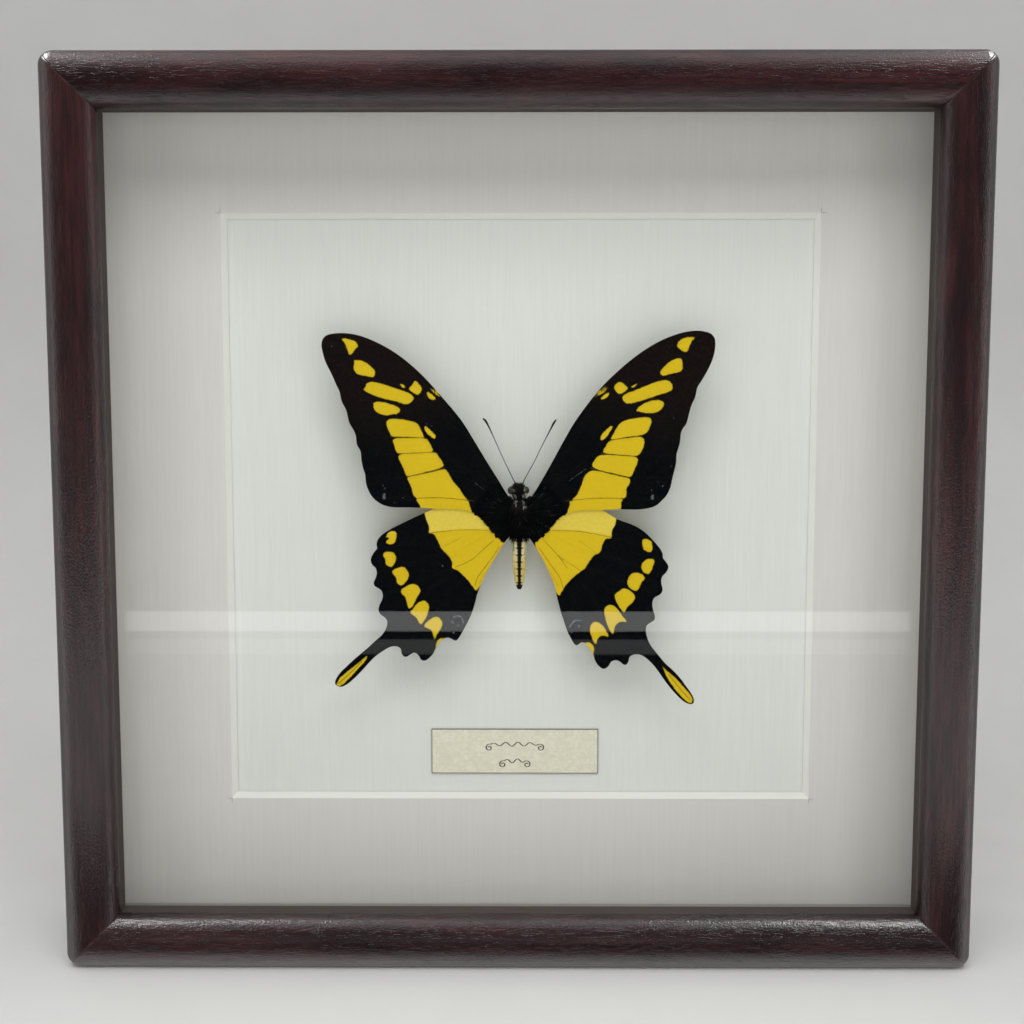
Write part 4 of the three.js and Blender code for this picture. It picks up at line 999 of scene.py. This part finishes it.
def add_hairs(name, roots, ways, lengths, widths, sag, tones, material):
    """Flat tapered ribbons, one a hair, in three steps from root to tip."""
    ways = ways / np.linalg.norm(ways, axis=1)[:, None]
    across = np.cross(ways, RANDOM.normal(size=ways.shape))
    across /= np.linalg.norm(across, axis=1)[:, None]
    rows = []
    for t, width in ((0.0, 1.0), (0.4, 0.85), (0.75, 0.55)):
        spine = roots + ways * (lengths * t)[:, None] + sag * (lengths * t**2)[:, None]
        half = across * (widths * width / 2)[:, None]
        rows += [spine - half, spine + half]
    rows.append(roots + ways * lengths[:, None] + sag * lengths[:, None])
    points = np.stack(rows, 1).reshape(-1, 3)
    start = len(rows) * np.arange(len(roots))[:, None]
    quads = np.concatenate([start + [0, 1, 3, 2], start + [2, 3, 5, 4]])
    faces = quads.tolist() + (start + [4, 5, 6]).tolist()
    add_body_piece(name, points, faces, material, {"tone": np.repeat(tones, len(rows))})


def near_spots(roots, spots):
    """Whether each root lies on the front side within an upright oval spot of pale hair."""
    reach = [((roots[:, 0] - x) / half) ** 2 + ((roots[:, 2] - z) / tall) ** 2 for x, z, half, tall in spots]
    return (np.min(reach, axis=0) < 1) & (roots[:, 1] < 0)


def scattered(shell, count, lowest, highest):
    """Random directions, and the hair roots to which they point on an ellipsoid."""
    turn = RANDOM.uniform(0, 2 * math.pi, count)
    up = RANDOM.uniform(lowest, highest, count)
    flat = np.sqrt(1 - up**2)
    normal = np.stack([flat * np.cos(turn), flat * np.sin(turn), up], 1)
    return normal, np.array(shell["centre"]) + normal * shell["radii"]


def add_thorax_hair(material):
    """Hair that hangs down over the thorax and stands up on the head."""
    count = THORAX_HAIRS
    normal, roots = scattered(THORAX, count, -0.97, 0.99)
    ways = normal * 0.55 + [0, 0, -0.8] + RANDOM.normal(scale=0.3, size=normal.shape)
    ways[:, 2] += np.clip(roots[:, 2] - 3.5, 0, 2) * 0.5
    lengths = RANDOM.uniform(0.7, 1.7, count) * np.where((roots[:, 2] > 2.4) & (roots[:, 1] < 0), 0.4, 1)
    pale = near_spots(roots, PALE_SPOTS)
    tones = np.where(pale, RANDOM.uniform(0.75, 1.0, count), RANDOM.uniform(0, 0.3, count) ** 2)
    tones = np.where(RANDOM.random(count) < 0.012, 0.75, tones)
    lengths = np.where(pale, 0.7, lengths)
    roots = roots + normal * np.where(pale, 0.6, 0)[:, None]
    head_count = count // 5
    head_normal, head_roots = scattered(HEAD, head_count, -0.9, 0.95)
    head_ways = head_normal * 0.8 + [0, -0.2, 0.5] + RANDOM.normal(scale=0.25, size=head_normal.shape)
    head_pale = near_spots(head_roots, PALE_SPOTS)
    head_tones = np.where(head_pale, 1.0, RANDOM.uniform(0, 0.3, head_count))
    head_roots = head_roots + head_normal * np.where(head_pale, 0.5, 0)[:, None]
    add_hairs(
        "thorax_hair", np.concatenate([roots, head_roots]), np.concatenate([ways, head_ways]),
        np.concatenate([lengths, RANDOM.uniform(0.4, 1.0, head_count)]),
        RANDOM.uniform(0.05, 0.1, count + head_count) * np.where(np.concatenate([pale, head_pale]), 2.2, 1),
        np.array([0, 0.1, -0.15]), np.concatenate([tones, head_tones]), material,
    )


def add_wing_root_hair(material):
    """Hair that lies along the wings' roots and fans out from the body."""
    count = ROOT_HAIRS
    for side, name in ((-1, "left"), (1, "right")):
        angle = np.radians(RANDOM.uniform(-62, 56, count))
        start = RANDOM.uniform(2.4, 8.2, count) * np.where(np.abs(angle) < 0.9, 1, 0.75)
        x, z = side * start * np.cos(angle), 1.5 + start * np.sin(angle) * 0.9
        lengths = RANDOM.uniform(1.0, 2.7, count) * np.clip(1.15 + angle * 0.35, 0.72, 1.2)
        tufts = 0.45 * np.sin(37 * angle) + 0.35 * np.sin(83 * angle + side)
        reach = np.interp(np.degrees(angle), [-62, -24, -7, 5, 56], [8.2, 8.6, 9.9, 12, 13]) + tufts
        lengths = np.clip(lengths, 0.4, np.maximum(reach - start, 0.4))
        lift = RANDOM.uniform(0.02, 0.3, count) + 0.1
        on_forewing = z > np.interp(np.abs(x), [0, 3.5, 7.5, 12.5], [-1.6, -1.4, 0.1, 2.2])
        front = np.where(on_forewing, -0.5, 0.2)
        y = front + wave(x, z) - lift
        roots = placed_on_wing(x, y, z, side) - PIN
        spread = angle + RANDOM.normal(scale=0.12, size=count)
        ways = np.stack([side * np.cos(spread), np.full(count, -0.02), np.sin(spread)], 1)
        ways[:, 1] += -math.tan(DIHEDRAL) * np.abs(ways[:, 0])
        grey = RANDOM.random(count) < 0.025
        tones = np.where(grey, RANDOM.uniform(0.4, 0.75, count), RANDOM.uniform(0, 0.2, count))
        add_hairs(
            f"wing_root_hair_{name}", roots, ways, lengths, RANDOM.uniform(0.08, 0.16, count),
            np.array([0, 0.0, -0.03]), tones, material,
        )


# ---- Label ornament ----------------------------------------------------------------------------


def flourish(centre, half_length, loops):
    """A pen stroke that waves along a line and curls up at both ends."""
    line = []
    for t in np.linspace(-1, 1, 140):
        height = WAVE_HEIGHT * math.sin(loops * math.pi * t) * (1 - t * t) ** 0.5
        line.append((half_length * t * WAVE_SHARE, height))
    curl_start = half_length * WAVE_SHARE + 0.3
    for side in (-1, 1):
        curl = []
        for t in np.linspace(0, 1, 60):
            turn = 2.4 * math.pi * t
            radius = CURL_RADIUS * (1 - 0.75 * t)
            across = side * (curl_start + radius * math.sin(turn))
            curl.append((across, -CURL_RADIUS + radius * math.cos(turn)))
        line = curl[::-1] + line if side < 0 else line + curl
    return np.array(line) + np.array(centre)


def add_ornament(material):
    parts = []
    for up, half_length, loops in ((1.9, 9.0, 4), (-2.6, 4.0, 2)):
        line = flourish((LABEL_CENTRE[0], up), half_length, loops)
        step = np.gradient(line, axis=0)
        step /= np.linalg.norm(step, axis=1)[:, None]
        width = 0.07 + 0.1 * np.abs(step[:, 1])
        normal = np.stack([-step[:, 1], step[:, 0]], 1) * width[:, None]
        rows = np.stack([line - normal, line + normal], 1).reshape(-1, 2)
        y = np.full(len(rows), LABEL_FRONT - 0.02)
        points = np.stack([rows[:, 0], y, rows[:, 1] + LABEL_CENTRE[1]], 1)
        parts.append((points, [[2 * i, 2 * i + 2, 2 * i + 3, 2 * i + 1] for i in range(len(line) - 1)]))
    points, faces = joined(parts)
    hand_in(add_mesh("label_ornament", points, faces, material), "label_paper")


# ---- CAD nodes that stay -----------------------------------------------------------------------


def dress(name, material, bevel_mm=None):
    """A CAD node in a finer material, with its edges eased if a bevel is given."""
    node = NODES[name]
    node.data.materials.clear()
    node.data.materials.append(material)
    if bevel_mm:
        bevel = node.modifiers.new("soft_edges", "BEVEL")
        bevel.width = bevel_mm * MM
        bevel.segments = 2
        bevel.limit_method = "ANGLE"
        bevel.angle_limit = math.radians(40)
    return node


def dress_nodes():
    card = card_material("mat_board", colour(226, 223, 218), colour(236, 236, 230))
    lining = card_material("lining_card", colour(152, 150, 146), colour(164, 162, 157))
    board = card_material("mount_paper", colour(231, 234, 228), colour(236, 236, 230))
    steel = metal_material("bright_steel", (0.62, 0.63, 0.64, 1), (0.42, 0.43, 0.44, 1), (300, 300, 4000))
    brass = metal_material("brass_plate", (0.72, 0.55, 0.25, 1), (0.52, 0.38, 0.16, 1), (250, 4000, 4000))
    for side in ("top", "bottom", "left", "right"):
        dress(f"lining_{side}", lining)
        dress(f"point_{side}_1", steel, 0.08)
        dress(f"point_{side}_2", steel, 0.08)
    dress("window_mat", card)
    dress("mount_board", board)
    dress("label_card", label_material())
    dress("specimen_pin", steel)
    dress("back_board", hardboard_material())
    dress("hanger", brass, 0.12)
    dress("hanger_nail_left", brass, 0.06)
    dress("hanger_nail_right", brass, 0.06)
    glass = dress("glass_pane", glass_material())
    glass.visible_shadow = False
    glass.visible_diffuse = False


# ---- Stage, light and camera -------------------------------------------------------------------


def add_stage():
    """A floor that curves up into a wall behind the frame."""
    profile = [(-1600.0, 0.0), (SWEEP_START, 0.0)]
    for turn in np.radians(np.linspace(0, 90, 17))[1:]:
        profile.append((SWEEP_START + SWEEP_RADIUS * math.sin(turn), SWEEP_RADIUS * (1 - math.cos(turn))))
    profile.append((SWEEP_START + SWEEP_RADIUS, STAGE_REACH))
    points = [[x, y, z - 0.02] for y, z in profile for x in (-STAGE_REACH, STAGE_REACH)]
    faces = [[2 * i, 2 * i + 1, 2 * i + 3, 2 * i + 2] for i in range(len(profile) - 1)]
    floor = add_mesh("floor_sweep", points, faces, floor_material(), sharp_deg=60)
    floor.visible_glossy = floor.visible_transmission = False


def only_for(name, rails):
    """A collection outside the scene that limits a lamp to some rails."""
    lit = bpy.data.collections.new(name)
    for side in rails:
        lit.objects.link(bpy.data.objects[f"rail_{side}"])
    return lit


def add_light(name, place, target, width, height, radiance, seen=True, lights=True, rails=()):
    """A soft box, which mirrors see if it is seen, and which shines on matt things if it lights."""
    light = bpy.data.lights.new(name, "AREA")
    light.shape = "RECTANGLE"
    light.size, light.size_y = width * MM, height * MM
    light.energy = radiance * math.pi * width * height * MM * MM
    lamp = bpy.data.objects.new(name, light)
    bpy.context.scene.collection.objects.link(lamp)
    lamp.location = Vector(place) * MM
    lamp.rotation_euler = (Vector(target) - Vector(place)).to_track_quat("-Z", "Y").to_euler()
    lamp.visible_camera = False
    lamp.visible_glossy = lamp.visible_transmission = seen
    lamp.visible_diffuse = lights
    if rails:
        lamp.light_linking.receiver_collection = only_for(name, rails)


def add_world():
    """A bright room with a wide dark side behind the camera, which the glass and the moulding mirror."""
    world = bpy.data.worlds.new("studio")
    world.use_nodes = True
    bpy.context.scene.world = world
    w = Nodes(world.node_tree)
    w.tree.nodes.clear()
    direction = w.node("ShaderNodeTexCoord", output="Generated")
    height = w.axis(direction, "Z")
    squeezed = w.stretch(direction, (0.42, 1, 1))
    squeezed = w.node("ShaderNodeVectorMath", {0: squeezed}, operation="NORMALIZE")
    to_camera = Vector((0, -1, -0.02)).normalized()
    both = {0: squeezed, 1: to_camera}
    facing = w.node("ShaderNodeVectorMath", both, output="Value", operation="DOT_PRODUCT")
    room = w.span(height, -0.5, 0.9, LOW_LIGHT, HIGH_LIGHT)
    dark_side = w.span(facing, 0.45, 0.85, 1.0, 0.01)
    back_wall = w.span(facing, -0.5, 0.0, 0.3, 1.0)
    light = w.times(w.times(room, dark_side), back_wall)
    backdrop = w.times(w.node("ShaderNodeLightPath"), BACKDROP_LIGHT)
    light = w.maths("MAXIMUM", light, backdrop)
    background = w.node("ShaderNodeBackground", {"Color": (1.0, 1.0, 0.99, 1), "Strength": light})
    output = w.tree.nodes.new("ShaderNodeOutputWorld")
    w.tree.links.new(background, output.inputs["Surface"])


def add_lights():
    for name, place, width, height, radiance in SOFT_BOXES:
        add_light(name, place, (0, 0, HALF_HEIGHT), width, height, radiance, seen=False)
    # a lamp that shows the stain of the top rail, and a pale table that the other rails mirror
    add_light("crown", (0, -60, 520), (0, -18, 218), 400, 160, 8.0, seen=False, rails=["top"])
    rails = ["bottom", "left", "right"]
    add_light("table", (0, -330, 2), (0, -331, 300), 1100, 460, 0.9, lights=False, rails=rails)
    for side in (-1, 1):
        # lamps that only glint on the bottom rail and on the outer top corners
        place, target = (257 * side, -248, 495), (98 * side, -18, 12)
        glint = 22.0 + 3 * side
        add_light(f"glint_{side + 2}", place, target, 60, 300, glint, lights=False, rails=["bottom"])
        place, target = (401 * side, 11, 624), (108 * side, -18, 218)
        add_light(f"sparkle_{side + 2}", place, target, 320, 180, 16.0, lights=False)
    for height, tall, radiance in STRIPS:
        add_light(f"strip_{round(height)}", (0, -310, height), (0, 0, height), 400, tall, radiance)


def add_camera():
    camera = bpy.data.cameras.new("camera")
    camera.lens, camera.sensor_width = 50, 36
    camera.clip_start = 0.01
    eye = bpy.data.objects.new("camera", camera)
    bpy.context.scene.collection.objects.link(eye)
    eye.location = Vector(CAMERA_PLACE) * MM
    eye.rotation_euler = Vector(CAMERA_WAY).to_track_quat("-Z", "Y").to_euler()
    bpy.context.scene.camera = eye


# ---- Build -------------------------------------------------------------------------------------

wood = wood_material()
for index, rail_name in enumerate(("rail_bottom", "rail_left", "rail_top", "rail_right")):
    halves = (HALF_HEIGHT, HALF_WIDTH) if index % 2 else (HALF_WIDTH, HALF_HEIGHT)
    add_rail(rail_name, index, *halves, wood, offset=417.0 * index)

wings = wing_material()
add_wing(
    "forewing_left_surface", FOREWING_LEFT, FOREWING_PLANE, -1, wings, FOREWING_LEFT_YELLOW,
    FOREWING_LEFT_LINES, FOREWING_LEFT_FLECKS, FOREWING_VEINS, HAIRY_LEFT,
)
add_wing(
    "forewing_right_surface", FOREWING_RIGHT, FOREWING_PLANE, 1, wings, FOREWING_RIGHT_YELLOW,
    FOREWING_RIGHT_LINES, FOREWING_RIGHT_FLECKS, FOREWING_VEINS, HAIRY_RIGHT,
)
add_wing(
    "hindwing_left_surface", HINDWING_LEFT, HINDWING_PLANE, -1, wings, HINDWING_LEFT_YELLOW,
    HINDWING_LEFT_LINES, HINDWING_LEFT_FLECKS, HINDWING_VEINS, HAIRY_LEFT, PALE_EDGE_LEFT,
)
add_wing(
    "hindwing_right_surface", HINDWING_RIGHT, HINDWING_PLANE, 1, wings, HINDWING_RIGHT_YELLOW,
    HINDWING_RIGHT_LINES, HINDWING_RIGHT_FLECKS, HINDWING_VEINS, HAIRY_RIGHT, PALE_EDGE_RIGHT,
)

chitin = chitin_material()
add_body_shell(chitin)
add_limbs(chitin)
add_abdomen(abdomen_material())
add_eyes(eye_material())
hair = hair_material()
add_thorax_hair(hair)
add_wing_root_hair(hair)

dress_nodes()
add_ornament(ink_material())
add_stage()
add_world()
add_lights()
add_camera()
bpy.context.scene.view_settings.view_transform = "Standard"
